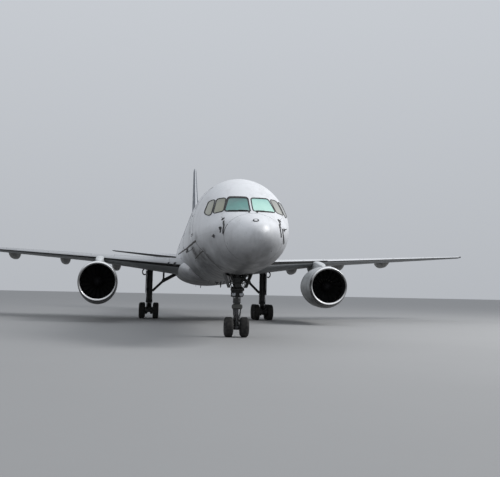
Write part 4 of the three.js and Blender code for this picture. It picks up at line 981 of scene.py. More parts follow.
def vane(y, z, sign):
    """A small weathervane on a round plate."""
    degrees = side_degrees(y, z, sign)
    foot, normal = skin(y, degrees), skin_normal(y, degrees)
    plate = turned([(0, -0.01), (0.07, -0.01), (0.07, 0.008), (0.055, 0.012), (0, 0.012)], foot, normal, 24)
    tip = foot + normal * 0.11
    rows = []
    for root, front, half, middle, back in ((foot, -0.02, 0.008, 0, 0.07), (tip, 0.02, 0.005, 0.04, 0.09)):
        rows.append([root + AFT * front, root + UP * half + AFT * middle, root + AFT * back,
                     root - UP * half + AFT * middle])
    return plate.join(loft(rows))


def blade_aerial(y, degrees, height, chord, lean=0.35):
    """A swept blade that stands on the skin."""
    foot, normal = skin(y, degrees, -0.02), skin_normal(y, degrees)
    aside = normal.cross(AFT).normalized()
    rows = []
    for share in (0, 0.5, 0.9, 1.0):
        size = chord * (1 - 0.45 * share) * (1 if share < 1 else 0.8)
        centre = foot + normal * (height * share) + AFT * (lean * height * share)
        rows.append([centre + AFT * (size / 2 * c) + aside * (0.11 * size * s) for c, s in circle(16)])
    return loft(rows)


def beacon(y, degrees):
    foot, normal = skin(y, degrees, -0.01), skin_normal(y, degrees)
    base = turned([(0, 0), (0.10, 0), (0.10, 0.025), (0.085, 0.035), (0, 0.035)], foot, normal, 24)
    quarter = [math.pi / 2 * i / 7 for i in range(8)]
    dome = [(0.075 * math.cos(a), 0.034 + 0.085 * math.sin(a)) for a in quarter]
    return base.join(turned([(0, 0.034)] + dome, foot, normal, 24, mark=1))


def door_outline(y0, y1, z0, z1, radius):
    return rounded([(y0, z0), (y0, z1), (y1, z1), (y1, z0)], radius, 0.16, 5)


def small_window(y, z, half_width, half_height, radius, lay, rim_out, rim):
    outline = door_outline(y - half_width, y + half_width, z - half_height, z + half_height, radius)
    return inlay(outline[::2], lay, 0.002, rim_out, rim, rings=(0.5,))


def windows_and_doors(side, sign):
    """The cabin windows of one side, the outlines of its doors and of its service panels."""
    panes, rims, doors = Shape(), Shape(), Shape()
    lay = lay_on_side(sign)
    openings = PASSENGER_DOORS + WING_EXITS
    y = WINDOWS["from"]
    while y < WINDOWS["to"]:
        if all(not a - 0.2 < y < b + 0.2 for a, b, _, _ in openings):
            size = (WINDOWS["half_width"], WINDOWS["half_height"], WINDOWS["corner"])
            pane, rim = small_window(y, WINDOWS["height"], *size, lay, 0.005, WINDOWS["rim"])
            panes.join(pane)
            rims.join(rim)
        y += WINDOWS["pitch"]
    for y0, y1, z0, z1 in openings:
        outline = door_outline(y0, y1, z0, z1, DOOR_SEAM["corner"])
        doors.join(side_ribbon(outline, sign, DOOR_SEAM["width"], True))
        middle, is_door = (y0 + y1) / 2, z1 - z0 > 1.2
        size = (DOOR_PANE["door" if is_door else "exit"], DOOR_PANE["half_height"], DOOR_PANE["corner"])
        height = z0 + DOOR_PANE["share"] * (z1 - z0)
        pane, rim = small_window(middle, height, *size, lay, 0.006, DOOR_PANE["rim"])
        panes.join(pane)
        rims.join(rim)
        if is_door:
            bar_start, length = middle + DOOR_HANDLE["from"], DOOR_HANDLE["length"]
            handle = [Vector((bar_start + length * i / 4, z0 + DOOR_HANDLE["height"])) for i in range(5)]
            doors.join(side_ribbon(handle, sign, DOOR_HANDLE["width"], mark=1, rise=0.008))
            beyond, bottom, top, corner = DOOR_SILL.values()
            sill = door_outline(y0 - beyond, y1 + beyond, z0 - bottom, z0 - top, corner)
            doors.join(side_ribbon(sill, sign, 0.012, True, 1))
    for panel in SERVICE_PANELS:
        doors.join(side_ribbon(door_outline(*panel, 0.05), sign, 0.012, True))
    fixed_piece(f"cabin_windows_{side}", panes, ["cabin"])
    fixed_piece(f"window_rims_{side}", rims, ["wing"])
    fixed_piece(f"door_outlines_{side}", doors, ["line", "steel"])


def old_stripe(side, sign):
    """The wavering edge of an old stripe, and the scrapes on the right side."""
    path = [(a[0] + (b[0] - a[0]) * k / 6, a[1] + (b[1] - a[1]) * k / 6)
            for a, b in zip(OLD_STRIPE, OLD_STRIPE[1:]) for k in range(6)]
    waver = random.Random(4)
    edge = [(y, z + waver.uniform(-0.012, 0.012)) for y, z in path]
    below = [(y, z - 0.16 + waver.uniform(-0.01, 0.01)) for y, z in path[3:16]]
    stripe = side_ribbon(edge, sign, 0.075).join(side_ribbon(below, sign, 0.022))
    if side == "right":
        stripe.join(*[side_strip(spots, sign, width, 0.004) for spots, width in SCUFF_LINES])
    fixed_piece(f"old_stripe_edge_{side}", stripe, ["stain"])


def nose_fittings(side, sign):
    probes = probe(*UPPER_PROBE, sign, 0.06, 0.10).join(vane(*VANE, sign))
    if side == "right":
        probes.join(probe(*LOWER_PROBE, sign, 0.07, 0.12))
    probes.join(*[side_strip(spots, sign) for spots in NOSE_STRIPS[side]])
    fixed_piece(f"air_data_probes_{side}", probes, ["seal", "steel"])


def skin_joints():
    """Seams around the body, along the barrel, and round the nose wheel's doors and the hatch ahead."""
    lines = Shape()
    for y, width in ((RADOME_END, 0.006), (NOSE_END, 0.008), (BARREL_END, 0.010), (TAIL_END, 0.012)):
        lines.join(skin_ribbon([(y, a) for a in BODY_ANGLES], width, True))
    for angle in BARREL_SEAMS:
        lines.join(skin_ribbon([(NOSE_END + 0.8 * i, angle) for i in range(28)], 0.006))
    for y0, y1, wide in BELLY_DOORS:
        loop = rounded([(-wide, y0), (-wide, y1), (wide, y1), (wide, y0)], 0.04, 0.14)
        lines.join(skin_ribbon([(p.y, 270 + math.degrees(math.asin(p.x / 1.95))) for p in loop], 0.014, True))
    return lines


def nose_disc():
    spot, facing = skin(*NOSE_DISC), skin_normal(*NOSE_DISC)
    rim = [(0, -0.01), (0.096, -0.01), (0.096, 0.010), (0.062, 0.012), (0.060, 0.007)]
    face = [(0.061, 0.0), (0.061, 0.009), (0.03, 0.013), (0, 0.014)]
    return turned(rim, spot, facing, 32, mark=1).join(turned(face, spot, facing, 32))


def nose_well_frames():
    well, frames = Shape(), WELL_FRAMES
    wide, deep = frames["half_width"], frames["half_depth"]
    for i in range(frames["count"]):
        y = frames["from"] + frames["pitch"] * i
        well.join(block(-wide, wide, y - deep, y + deep, frames["bottom"], frames["top"]))
    for x in (-0.42, 0.42):
        well.join(tube([(x, 5.2, 2.6), (x, 5.5, 2.66), (x * 0.95, 5.9, 2.6), (x * 0.9, 6.2, 2.66)], 0.012, 8))
    return well


def tail_exhaust():
    profile = [(0.165, 46.955), (0.150, 46.975), (0.125, 46.975), (0.10, 46.90), (0, 46.88)]
    pipe = turned(profile, (0, 0, TAIL_EXHAUST_HEIGHT), sides=32)
    rim_faces = 2 * 32
    pipe.marks[rim_faces:] = [1] * (len(pipe.marks) - rim_faces)
    return pipe


def build_fuselage_details():
    for side, sign in SIDES:
        windows_and_doors(side, sign)
        old_stripe(side, sign)
        nose_fittings(side, sign)
    fixed_piece("skin_joints", skin_joints(), ["line"])
    # Dark strips along the radome's joint.
    streaks = Shape()
    for start, sweep in RADOME_JOINT_STRIPS:
        spots = [(RADOME_END + 0.004, start + sweep * i / 12) for i in range(13)]
        streaks.join(skin_ribbon(spots, 0.036, rise=0.004))
    fixed_piece("radome_joint_strips", streaks, ["seal"])
    fixed_piece("nose_disc", nose_disc(), ["disc", "seal"])
    aerials = Shape().join(*[blade_aerial(*row) for row in AERIALS])
    fixed_piece("blade_aerials", aerials, ["gear"])
    drains = Shape().join(*[blade_aerial(*spot, *DRAIN_BLADE) for spot in DRAINS])
    fixed_piece("drain_masts", drains, ["gear_pale"])
    for name, y, degrees, lens in BEACONS:
        fixed_piece(f"{name}_beacon", beacon(y, degrees), ["seal", lens])
    fixed_piece("nose_well_frames", nose_well_frames(), ["inside"])
    fixed_piece("tail_exhaust", tail_exhaust(), ["nozzle", "duct"])


# Lifting surfaces


def half_thickness(share):
    """Half the thickness along the chord of a section that is as thick as its chord."""
    powers = (-0.126, -0.3516, 0.2843, -0.1036)
    return 5 * (0.2969 * math.sqrt(share) + sum(k * share ** (i + 1) for i, k in enumerate(powers)))


class Foil:
    """A wing, stabiliser or fin by its table of sections; side is 1 above and -1 below."""

    def __init__(self, table, upright=False):
        self.table, self.upright = table, upright

    def flat(self, span, share, side, out=0.0):
        _, edge, chord, z, incidence, thickness = sample(self.table, span)
        camber = 0 if self.upright else 0.05 * share * (1 - share)
        over = (camber + side * thickness * half_thickness(share)) * chord
        over += side * (EDGE_THICKNESS * share * 0.5 + out)
        tilt, along = math.radians(incidence), share * chord
        return Vector((span, edge + along * math.cos(tilt), z + over - along * math.sin(tilt)))

    def stand(self, p):
        return Vector((-p.z, p.y, p.x)) if self.upright else p

    def at(self, span, share, side, out=0.0):
        return self.stand(self.flat(span, share, side, out))

    def hinge(self, span, share):
        upper, lower = self.flat(span, share, 1), self.flat(span, share, -1)
        return (upper + lower) / 2, (upper.z - lower.z) / 2

    def nose(self, span, share, extra):
        """A round nose about the hinge, from the lower skin forward to the upper one."""
        centre, half = self.hinge(span, share)
        radius, lean, count = half + extra, 6, 9
        angles = [math.radians(-90 - lean - (180 - 2 * lean) * i / count) for i in range(count + 1)]
        return [self.stand(centre + Vector((0, radius * math.cos(a), radius * math.sin(a)))) for a in angles]


def fixed_surface(foil, cuts, paint):
    """A whole surface with pieces cut from its rear.

    cuts are (from, to, share, round cove or not); paint gives the mark for a share, a side and a span.
    """
    start, *between, end = [row[0] for row in foil.table]
    spans = merged(steps(start, end, 0.5), between, [span for cut in cuts for span in cut[:2]])
    shares = merged([(1 - math.cos(math.pi * i / 26)) / 2 for i in range(27)], [cut[2] for cut in cuts])
    edge = len(shares) - 1
    around = [(share, 1) for share in reversed(shares)] + [(share, -1) for share in shares[1:]]
    count = len(around)
    shape = Shape()
    shape.points = [foil.at(span, share, side) for span in spans for share, side in around]
    coves = {}

    def cove(i, cut):
        """Points of the wall ahead of a cut, from the lower skin to the upper, and its place in shares."""
        if (i, cut) not in coves:
            k = shares.index(min(shares, key=lambda share: abs(share - cut[2])))
            upper, lower = i * count + edge - k, i * count + edge + k
            curve = foil.nose(spans[i], cut[2], COVE_GAP)[1:-1] if cut[3] else []
            base = len(shape.points)
            shape.points += curve
            coves[i, cut] = ([lower, *range(base, base + len(curve)), upper], k)
        return coves[i, cut]

    for i in range(len(spans) - 1):
        middle = (spans[i] + spans[i + 1]) / 2
        cut = next((c for c in cuts if c[0] < middle < c[1]), None)
        for k in range(count):
            j = (k + 1) % count
            here, there = around[k][0], around[j][0]
            if not cut or min(here, there) <= cut[2] - 1e-6:
                corners = (i * count + k, i * count + j, (i + 1) * count + j, (i + 1) * count + k)
                shape.face(corners, paint((here + there) / 2, 1 if k < edge else -1, middle))
        if not cut:
            continue
        (first, _), (second, _) = cove(i, cut), cove(i + 1, cut)
        for a in range(len(first) - 1):
            shape.face((first[a], first[a + 1], second[a + 1], second[a]), 1)
        for line, limit in ((i, cut[0]), (i + 1, cut[1])):
            if abs(spans[line] - limit) < 1e-6:
                wall, k = cove(line, cut)
                upper = [line * count + q for q in range(edge - k, -1, -1)]
                lower = [line * count + q for q in range(count - 1, edge + k - 1, -1)]
                shape.face(upper + lower + wall[1:-1], 1)
    last = (len(spans) - 1) * count
    shape.face(range(count - 1, -1, -1), 0)
    shape.face(range(last, last + count), 0)
    return shape


def hinge_cut(part):
    return part["from"] - part["gap"], part["to"] + part["gap"], part["hinge"], True


def rear_piece(foil, start, end, share, round_nose):
    """A flap or a hinged surface: the rear of a section from a share of its chord; mark 2 is below."""
    count = 12
    shares = [share + (1 - share) * i / count for i in range(count + 1)]
    rows = []
    for span in steps(start, end, 0.5):
        row = [foil.at(span, s, 1) for s in shares] + [foil.at(span, s, -1) for s in reversed(shares)]
        if round_nose:
            row += foil.nose(span, share, 0)[1:-1]
        rows.append(row)
    shape = loft(rows)
    for r in range(len(rows) - 1):
        first = r * len(rows[0]) + count + 1
        shape.marks[first:first + count] = [2] * count
    return shape


def hinge_pins(foil, part):
    """The pins at both ends of a hinged surface."""
    a, b = (foil.hinge(part[end], part["hinge"])[0] for end in ("from", "to"))
    along = (b - a).normalized()
    pins = Shape()
    for end, way in ((a, -1), (b, 1)):
        near, far = end - along * way * 0.1, end + along * way * (part["gap"] + 0.07)
        pins.join(bar(foil.stand(near), foil.stand(far), 0.016, mark=1))
    return pins


def wicks(foil, spans):
    """Short static rods on a trailing edge."""
    shape = Shape()
    for span in spans:
        root, edge = foil.at(span, 0.99, 1), foil.at(span, 1.0, 1)
        shape.join(bar(root, edge + AFT * ROD["length"], ROD["foot"], ROD["tip"], 8, 1))
    return shape


def moving_surface(name, foil, part, sign, above, below):
    shape = rear_piece(foil, part["from"], part["to"], part["hinge"], True)
    shape.join(hinge_pins(foil, part), wicks(foil, part["rods"]))
    skin_piece(name, shape.on_side(sign), [above, "steel", below], name)


def foil_ribbon(foil, spots, side, width, closed=False, mark=0):
    """A strip over (span, share) spots of one side of a surface."""
    points = [foil.at(*spot, side) for spot in spots]
    normals = [(foil.at(*spot, side, 0.01) - p).normalized() for spot, p in zip(spots, points)]
    return ribbon(points, normals, width, closed=closed, mark=mark, depth=0.006)


def foil_line(foil, a, b, side, width, count=10, mark=0):
    spots = [(a[0] + (b[0] - a[0]) * i / count, a[1] + (b[1] - a[1]) * i / count) for i in range(count + 1)]
    return foil_ribbon(foil, spots, side, width, mark=mark)


def flap_fairing(span, foil):
    f = FLAP_FAIRINGS
    rear = foil.flat(span, 1, -1)
    outline = Smooth(f["shape"])
    rows = []
    for i in range(29):
        share = i / 28
        size = outline(share)[0]
        y = rear.y + (share - f["ahead"]) * f["length"]
        row = []
        for c, s in circle(28):
            rise = math.copysign(abs(s) ** 0.75, s) * (f["depth"] * size if s < 0 else f["crown"])
            aside = math.copysign(abs(c) ** 0.7, c) * (1 - 0.12 * max(0, -s))
            row.append(Vector((span + f["half_width"] * size * aside, y, rear.z + f["top"] + rise)))
        rows.append(row)
    return loft(rows, 4)


def wing_paint(shaded_line_side):
    """Marks of a wing's skin; the near-black line of painted shade along its leading edge lies just above or
    just below the edge.
    """
    def paint(share, side, span):
        reach = 0.01 if shaded_line_side < 0 or span > WING_ROOT_END else 0.03
        if side == shaded_line_side and share < reach:
            return 5
        if side < 0:
            return 3
        return 2 if share < 0.16 else 0
    return paint


def stabiliser_paint(share, side, _):
    # Below is near-black painted shade; the front band above is the lighter leading-edge paint, a painted
    # highlight.
    if side < 0:
        return 3
    return 2 if share < 0.05 else 0


def fin_paint(share, *_):
    # The front of the leading edge takes the white tail paint: a painted highlight on the dark fin.
    return 2 if share < 0.02 else 0


def chord_line(foil, span, shares, side, width, mark=0):
    """A seam across a surface at one span, between two shares of its chord."""
    return foil_line(foil, (span, shares[0]), (span, shares[1]), side, width, 6, mark)


def wing_lines(foil):
    """Edges of slats and spoilers, panel joints, access covers below, and the rods at the tip."""
    lines = Shape()
    for a, b in SLATS:
        lines.join(foil_line(foil, (a, SLAT_TOP), (b, SLAT_TOP), 1, 0.014),
                   foil_line(foil, (a, SLAT_BOTTOM), (b, SLAT_BOTTOM), -1, 0.012))
        lines.join(*[foil_line(foil, (span, 0.012), (span, SLAT_TOP), 1, 0.014, 5) for span in (a, b)])
    for a, b, front, back in SPOILERS:
        a, b = a + 0.03, b - 0.03
        loop = [Vector(v) for v in ((a, front), (b, front), (b, back), (a, back))]
        for v, w in zip(loop, loop[1:] + loop[:1]):
            lines.join(foil_line(foil, v, w, 1, 0.014, 6))
    for span in WING_PANEL_SPANS:
        lines.join(chord_line(foil, span, WING_PANEL_SEAMS["top"], 1, 0.006),
                   chord_line(foil, span, WING_PANEL_SEAMS["bottom"], -1, 0.006))
    for span in ACCESS_SPANS:
        half_span, half_share = ACCESS_COVER["half_span"], ACCESS_COVER["half_chord"] / sample(WING, span)[2]
        for share in ACCESS_SHARES:
            loop = [(span + half_span * c, share + half_share * s) for c, s in circle(16)]
            lines.join(foil_ribbon(foil, loop, -1, 0.010, True))
    return lines.join(wicks(foil, TIP_RODS))


def landing_lamps(foil):
    """Two round lamps in the leading edge at the root."""
    lamps, facing = Shape(), Vector((0, -1, -0.05))
    for span, size in LANDING_LAMPS:
        spot = foil.at(span, 0.0, 1) + AFT * 0.02
        rim = [(0, -0.03), (size, -0.03), (size, 0.035), (size * 0.86, 0.042), (size * 0.84, 0.02)]
        lens = [(size * 0.85, 0.0), (size * 0.85, 0.018), (size * 0.4, 0.026), (0, 0.028)]
        lamps.join(turned(rim, spot, facing, 32), turned(lens, spot, facing, 32, mark=1))
    return lamps


def tip_light(foil):
    lens = [(0, -0.17), (0.028, -0.15), (0.048, -0.08), (0.052, 0.03), (0.035, 0.16), (0, 0.22)]
    return turned(lens, foil.at(*TIP_LIGHT, 1), (0.10, 1, 0), 20)


def build_wings():
    foil = Foil(WING)
    cuts = [(start, end, front, False) for start, end, front in FLAPS.values()] + [hinge_cut(AILERON)]
    fairings = [flap_fairing(span, foil) for span in FLAP_FAIRINGS["spans"]]
    lines, lamps, light = wing_lines(foil), landing_lamps(foil), tip_light(foil)
    for side, sign in SIDES:
        wing = fixed_surface(foil, cuts, wing_paint(sign)).join(*fairings)
        # The right wing's leading-edge band is the darker copy, painted shade.
        looks = ["wing", "line", "edge" if sign > 0 else "shaded_edge", "under", "canoe", "edge_shade_line"]
        skin_piece(f"wing_{side}", wing.on_side(sign), looks)
        fixed_piece(f"wing_{side}_seams", lines.on_side(sign), ["line", "steel"])
        fixed_piece(f"wing_{side}_landing_lamps", lamps.on_side(sign), ["seal", "cabin"])
        fixed_piece(f"wing_{side}_tip_light", light.on_side(sign), ["cabin"])
        for name, (start, end, front) in FLAPS.items():
            flap = rear_piece(foil, start + JOINT_GAP, end - JOINT_GAP, front + 0.0015, False)
            skin_piece(f"{name}_{side}", flap.on_side(sign), ["flap", "steel", "under"])
        moving_surface(f"aileron_{side}", foil, AILERON, sign, "flap", "under")


def dorsal_fillet():
    """The low ridge that leads up to the fin."""
    start, end = DORSAL["start"], DORSAL["end"]
    half = [(1.3, 0), (1, 0.25), (0.75, 0.6), (0.45, 0.88)]
    profile = half + [(0, 1)] + [(-c, s) for c, s in reversed(half)]
    rows = []
    for y in steps(start, end, 0.25):
        share = (y - start) / (end - start)
        base = skin(y, 90).z - 0.05
        top = base + 0.06 + DORSAL["height"] * share ** 2.2
        width = 0.03 + DORSAL["width"] * share
        rows.append([Vector((width * c, y, base + (top - base) * s)) for c, s in profile])
    return loft(rows)


def build_tail():
    foil, fin = Foil(STABILISER), Foil(FIN, upright=True)
    half = fixed_surface(foil, [hinge_cut(ELEVATOR)], stabiliser_paint)
    half.join(foil_line(foil, *STABILISER_NOSE, 1, 0.010, mark=1))
    for span in TAIL_PANEL_SPANS:
        half.join(*[chord_line(foil, span, STABILISER_SEAM, side, 0.006, 1) for side in (1, -1)])
    looks = ["tail", "line", "edge", "near_black_shade"]
    for side, sign in SIDES:
        skin_piece(f"stabiliser_{side}", half.on_side(sign), looks)
        moving_surface(f"elevator_{side}", foil, ELEVATOR, sign, "tail", "near_black_shade")
    blade = fixed_surface(fin, [hinge_cut(RUDDER)], fin_paint)
    for side in (1, -1):
        for span in FIN_PANEL_SPANS:
            blade.join(chord_line(fin, span, FIN_SEAM, side, 0.007, 1))
        blade.join(foil_line(fin, *FIN_SPAR, side, 0.007, 12, 1))
    blade.join(dorsal_fillet())
    skin_piece("fin", blade, ["fin", "line", "tail"])
    moving_surface("rudder", fin, RUDDER, 1, "fin", "fin")


# Engines


def nacelle_ring(y, out=0.0):
    side, top, bottom = nacelle_section(y)
    return [Vector(((side + out) * c, y, ((top if s > 0 else bottom) + out) * s))
            for c, s in circle(NACELLE_SIDES, 0.5)]


def round_ring(radius, y):
    return [Vector((radius * c, y, radius * s)) for c, s in circle(NACELLE_SIDES, 0.5)]


def shell(rows, bands):
    """A closed tube wall from rows of its outside, then of its inside; bands are (mark, how many rows)."""
    shape = loft(rows + [rows[0]], ends=False)
    shape.marks = [mark for mark, count in bands for _ in range(count * len(rows[0]))]
    return shape


def intake_lip():
    end = LIP_END - JOINT_GAP
    outer = [nacelle_ring((i / 12) ** 2 * end) for i in range(13)]
    hollow = Smooth([(0.0, DUCT_RADIUS), (0.10, 0.926), (0.17, 0.926), (0.225, 0.945), (LIP_END, 0.985)])
    inner = [round_ring(hollow(i / 10 * LIP_END)[0], end - (i / 10) * end) for i in range(11)]
    # The outside takes lip_side and the front curve inside takes lip: painted highlight and painted
    # reflection.
    return shell(outer + inner, [(1, 12), (2, 8), (0, 4)])


def fan_cowl():
    outer = [nacelle_ring(y) for y in steps(LIP_END, FAN_COWL_END, 0.15)]
    inside = [(SLEEVE_RADIUS, FAN_COWL_END), (0.960, 1.45), (DUCT_RADIUS, 1.25), (DUCT_RADIUS, LIP_END)]
    inner = [round_ring(radius, y) for radius, y in inside]
    return shell(outer + inner, [(0, len(outer) - 1), (1, len(inner) + 1)])


def sleeve():
    """The moving rear of the cowl, open above for the pylon."""
    start = FAN_COWL_END + RUNNING_GAP
    length = 1.446
    slot = PYLON["half_width"] + RUNNING_GAP
    inside = Smooth([(0, SLEEVE_RADIUS), (0.686, SLEEVE_RADIUS), (0.786, DUCT_RADIUS), (length, DUCT_RADIUS)])

    def open_circle(radius, way):
        """(cosine, sine) pairs from one side of the slot round to the other."""
        first = math.asin(slot / radius)
        angles = [math.pi / 2 + way * first + way * (2 * math.pi - 2 * first) * i / 64 for i in range(65)]
        return [(math.cos(a), math.sin(a)) for a in angles]

    rows = []
    for y in steps(start, SLEEVE_END, 0.12):
        side, top, bottom = nacelle_section(y)
        within = inside(min(max(y - start, 0), length))[0]
        row = [Vector((side * c, y, (top if s > 0 else bottom) * s)) for c, s in open_circle(top, 1)]
        rows.append(row + [Vector((within * c, y, within * s)) for c, s in open_circle(within, -1)])
    shape = loft(rows)
    for way in (-1, 1):
        near, far = way * (PYLON["half_width"] + 0.001), way * (slot + 0.02)
        shape.join(block(near, far, start, start + 0.75, 0.93, 0.975, 1))
    return shape


def fan_blade(turn):
    """A wide blade that twists from hub to tip."""
    f = FAN
    middle = f["station"] + f["depth"] / 2
    rows = []
    for i in range(9):
        share = i / 8
        radius = f["hub"] - 0.02 + (f["tip"] - f["hub"] + 0.02) * share
        pitch = math.radians(24 + 32 * share)
        chord = 0.27 + 0.09 * share - 0.05 * share ** 4
        row = []
        for c, s in circle(14):
            along = 0.5 * chord * c
            thick = 0.011 * s * (1.1 - 0.7 * share) + 0.03 * (0.25 - (along / chord) ** 2) * (1 - share)
            row.append(Vector((thick * math.cos(pitch) + along * math.sin(pitch),
                               middle + along * math.cos(pitch) * 0.82 - thick * math.sin(pitch), radius)))
        rows.append(row)
    return loft(rows).moved(Matrix.Rotation(turn, 4, "Y"))


def fan():
    f = FAN
    front, back, hub, shaft = f["station"], f["station"] + f["depth"], f["hub"], f["shaft"]
    spinner = [(0, -0.52), (0.035, -0.512), (0.09, -0.485), (0.15, -0.43), (0.215, -0.32), (0.262, -0.18),
               (0.29, -0.06), (hub, 0.02)]
    profile = [(radius, front + y) for radius, y in spinner]
    profile += [(hub, back), (shaft, back), (shaft, f["shaft_end"]), (0, f["shaft_end"])]
    shape = turned(profile, sides=48, mark=1)
    return shape.join(*[fan_blade(2 * math.pi * i / f["blades"]) for i in range(f["blades"])])


def core():
    """The core's case with its tail cone, and the guide vanes around it."""
    case = [(0, 1.42), (0.46, 1.42), (0.48, 1.44), (0.48, 3.4), (0.44, 3.9), (0.37, 4.35), (0.33, 4.7),
            (0.31, 5.0), (0.24, 5.16), (0.12, 5.36), (0.03, 5.44), (0, 5.45)]
    shape = turned(case, sides=56)
    g = GUIDE_VANES
    half, depth = g["half_thickness"], g["half_depth"]
    vane = block(-half, half, -depth, depth, 0.44, 0.94, 1)
    vane = vane.moved(Matrix.Rotation(math.radians(g["turn"]), 4, "Z"))
    for i in range(g["count"]):
        turn = Matrix.Rotation(2 * math.pi * (i + 0.5) / g["count"], 4, "Y")
        shape.join(vane.moved(turn @ Matrix.Translation((0, g["station"], 0))))
    return shape


def nozzle():
    """The exhaust nozzle, a whole round shell; the pylon passes through its top."""
    outside = [(0.925, 4.48), (0.915, 4.7), (0.895, 4.9), (0.83, 5.35), (0.745, 5.85)]
    inside = [(0.720, 5.85), (0.805, 5.35), (0.870, 4.9), (0.885, 4.48)]
    return shell([round_ring(radius, y) for radius, y in outside + inside], [(0, 5), (1, 4)])


def pylon():
    """A slim strut from the fan cowl to the wing, round in front and sharp behind."""
    start, end = PYLON["from"], PYLON["to"]
    # Columns: station, top, bottom
    side = Smooth([(start, 1.12, 0.95), (2.0, 1.255, 0.9), (3.3, 1.48, 0.7), (4.50, 1.575, 0.5),
                   (5.0, 1.52, 0.6), (5.9, 1.45, 0.80), (end, 1.40, 1.18)])
    rows = []
    for y in steps(start, end, 0.12):
        top, bottom = side(y)
        taper = min(1, math.sqrt(max(0.012, (y - start) / 0.9)), max(0.1, (end - y) / 1.9))
        half = PYLON["half_width"] * taper
        crown = min(0.10, 0.4 * half)
        flank = [(half, bottom), (half, (top + bottom) / 2), (half, top - crown)]
        arch = [(half * math.cos(a), top - crown + crown * math.sin(a))
                for a in (math.pi * i / 12 for i in range(1, 12))]
        outline = flank + arch + [(-x, z) for x, z in reversed(flank)]
        rows.append([Vector((x, y, z)) for x, z in outline])
    shape = loft(rows)
    ahead_of_wing = sum(row[0].y < PYLON["wing"] for row in rows) * len(rows[0])
    shape.marks[ahead_of_wing:] = [1] * (len(shape.marks) - ahead_of_wing)
    return shape


def cowl_ribbon(y, width, mark=2):
    """A seam around the nacelle."""
    front, back, out, into = y - width / 2, y + width / 2, 0.003, -0.008
    spots = ((front, out), (back, out), (back, into), (front, into))
    return shell([nacelle_ring(*spot) for spot in spots], [(mark, 4)])


def cowl_spot(turn, y):
    """A point of the nacelle and the way out there, at an angle from its left side over the top."""
    side, top, bottom = nacelle_section(y)
    c, s = math.cos(math.radians(turn)), math.sin(math.radians(turn))
    reach = top if s > 0 else bottom
    return Vector((side * c, y, reach * s)), Vector((c / side, 0, s / reach)).normalized()


def cowl_line(turn, start, end, width, rise=0.003):
    """A lengthwise seam on the nacelle."""
    points, normals = zip(*[cowl_spot(turn, y) for y in steps(start, end, 0.25)])
    return ribbon(points, normals, width, rise, mark=2)


def cowl_arc(turn, half, y):
    """A short seam across the nacelle."""
    points = [cowl_spot(turn - half + 2 * half * i / 8, y)[0] for i in range(9)]
    return ribbon(points, [Vector((p.x, 0, p.z)).normalized() for p in points], 0.008, mark=2)


def cowl_details():
    """Seams, the latches below and three small doors."""
    back = FAN_COWL_END - 0.04
    shape = cowl_ribbon(COWL_SEAM, 0.012).join(cowl_ribbon(LIP_END + 0.050, 0.090, 3))
    shape.join(cowl_line(270, LIP_END + 0.05, back, 0.018))
    shape.join(*[cowl_line(turn, COWL_SEAM + 0.02, back, 0.008) for turn in COWL_SEAM_ANGLES])
    for i in range(LATCHES["count"]):
        y = LATCHES["from"] + LATCHES["pitch"] * i
        shape.join(cowl_line(270, y, y + LATCHES["length"], LATCHES["width"], rise=0.006))
    half = COWL_DOOR["half_degrees"]
    for turn, y in COWL_DOORS:
        end = y + COWL_DOOR["length"]
        shape.join(cowl_arc(turn, half, y), cowl_arc(turn, half, end))
        shape.join(*[cowl_line(edge, y, end, 0.008) for edge in (turn - half, turn + half)])
    return shape


def build_engines():
    parts = {
        "intake_lip": (intake_lip(), ["lip", "lip_side", "duct"], "bare_metal"),
        "fan_cowl": (fan_cowl().join(cowl_details()), ["cowl", "duct", "line", "stain"], "grey_paint"),
        "reverser_sleeve": (sleeve(), ["cowl", "duct"], "grey_paint"),
        "exhaust_nozzle": (nozzle(), ["nozzle", "duct"], "bare_metal"),
        "core": (core(), ["core", "duct"], "dark_metal"),
        "fan": (fan(), ["blade", "spinner"], "dark_metal"),
        "pylon": (pylon(), ["cowl", "under"], "grey_paint"),
    }
    for side, sign in SIDES:
        centre = Matrix.Translation((sign * ENGINE.x, ENGINE.y, ENGINE.z))
        seat = centre @ Matrix.Rotation(-sign * TOE_IN, 4, "Z")
        for name, (shape, materials, slot) in parts.items():
            node = f"{name}_{side}"
            body = node if name in ("fan", "reverser_sleeve") else "airframe"
            skin_piece(node, shape.moved(seat), materials, body)


# Landing gear. Rows of bars: one end, other end, radius, sides, mark


def tyre_profile(g):
    """From a wheel's inner face over the tyre to its outer face: (radius, distance from the centre)."""
    tyre, rim, width = g["tyre"], g["rim"], g["width"]
    inner, outer = g["half_track"] - width / 2, g["half_track"] + width / 2
    half = [(rim * 0.98, 0.035), (rim * 1.05, 0.012), ((rim + tyre) / 2 + 0.02, 0), (tyre - 0.045, 0.022),
            (tyre - 0.012, 0.055), (tyre, 0.085)]
    points = [(radius, inner + depth) for radius, depth in half]
    grooves = 4
    for i in range(grooves):
        at = inner + width * (0.30 + 0.4 * i / (grooves - 1))
        points += [(tyre, at - 0.009), (tyre - 0.009, at - 0.006)]
        points += [(tyre - 0.009, at + 0.006), (tyre, at + 0.009)]
    return points + [(radius, outer - depth) for radius, depth in reversed(half)]


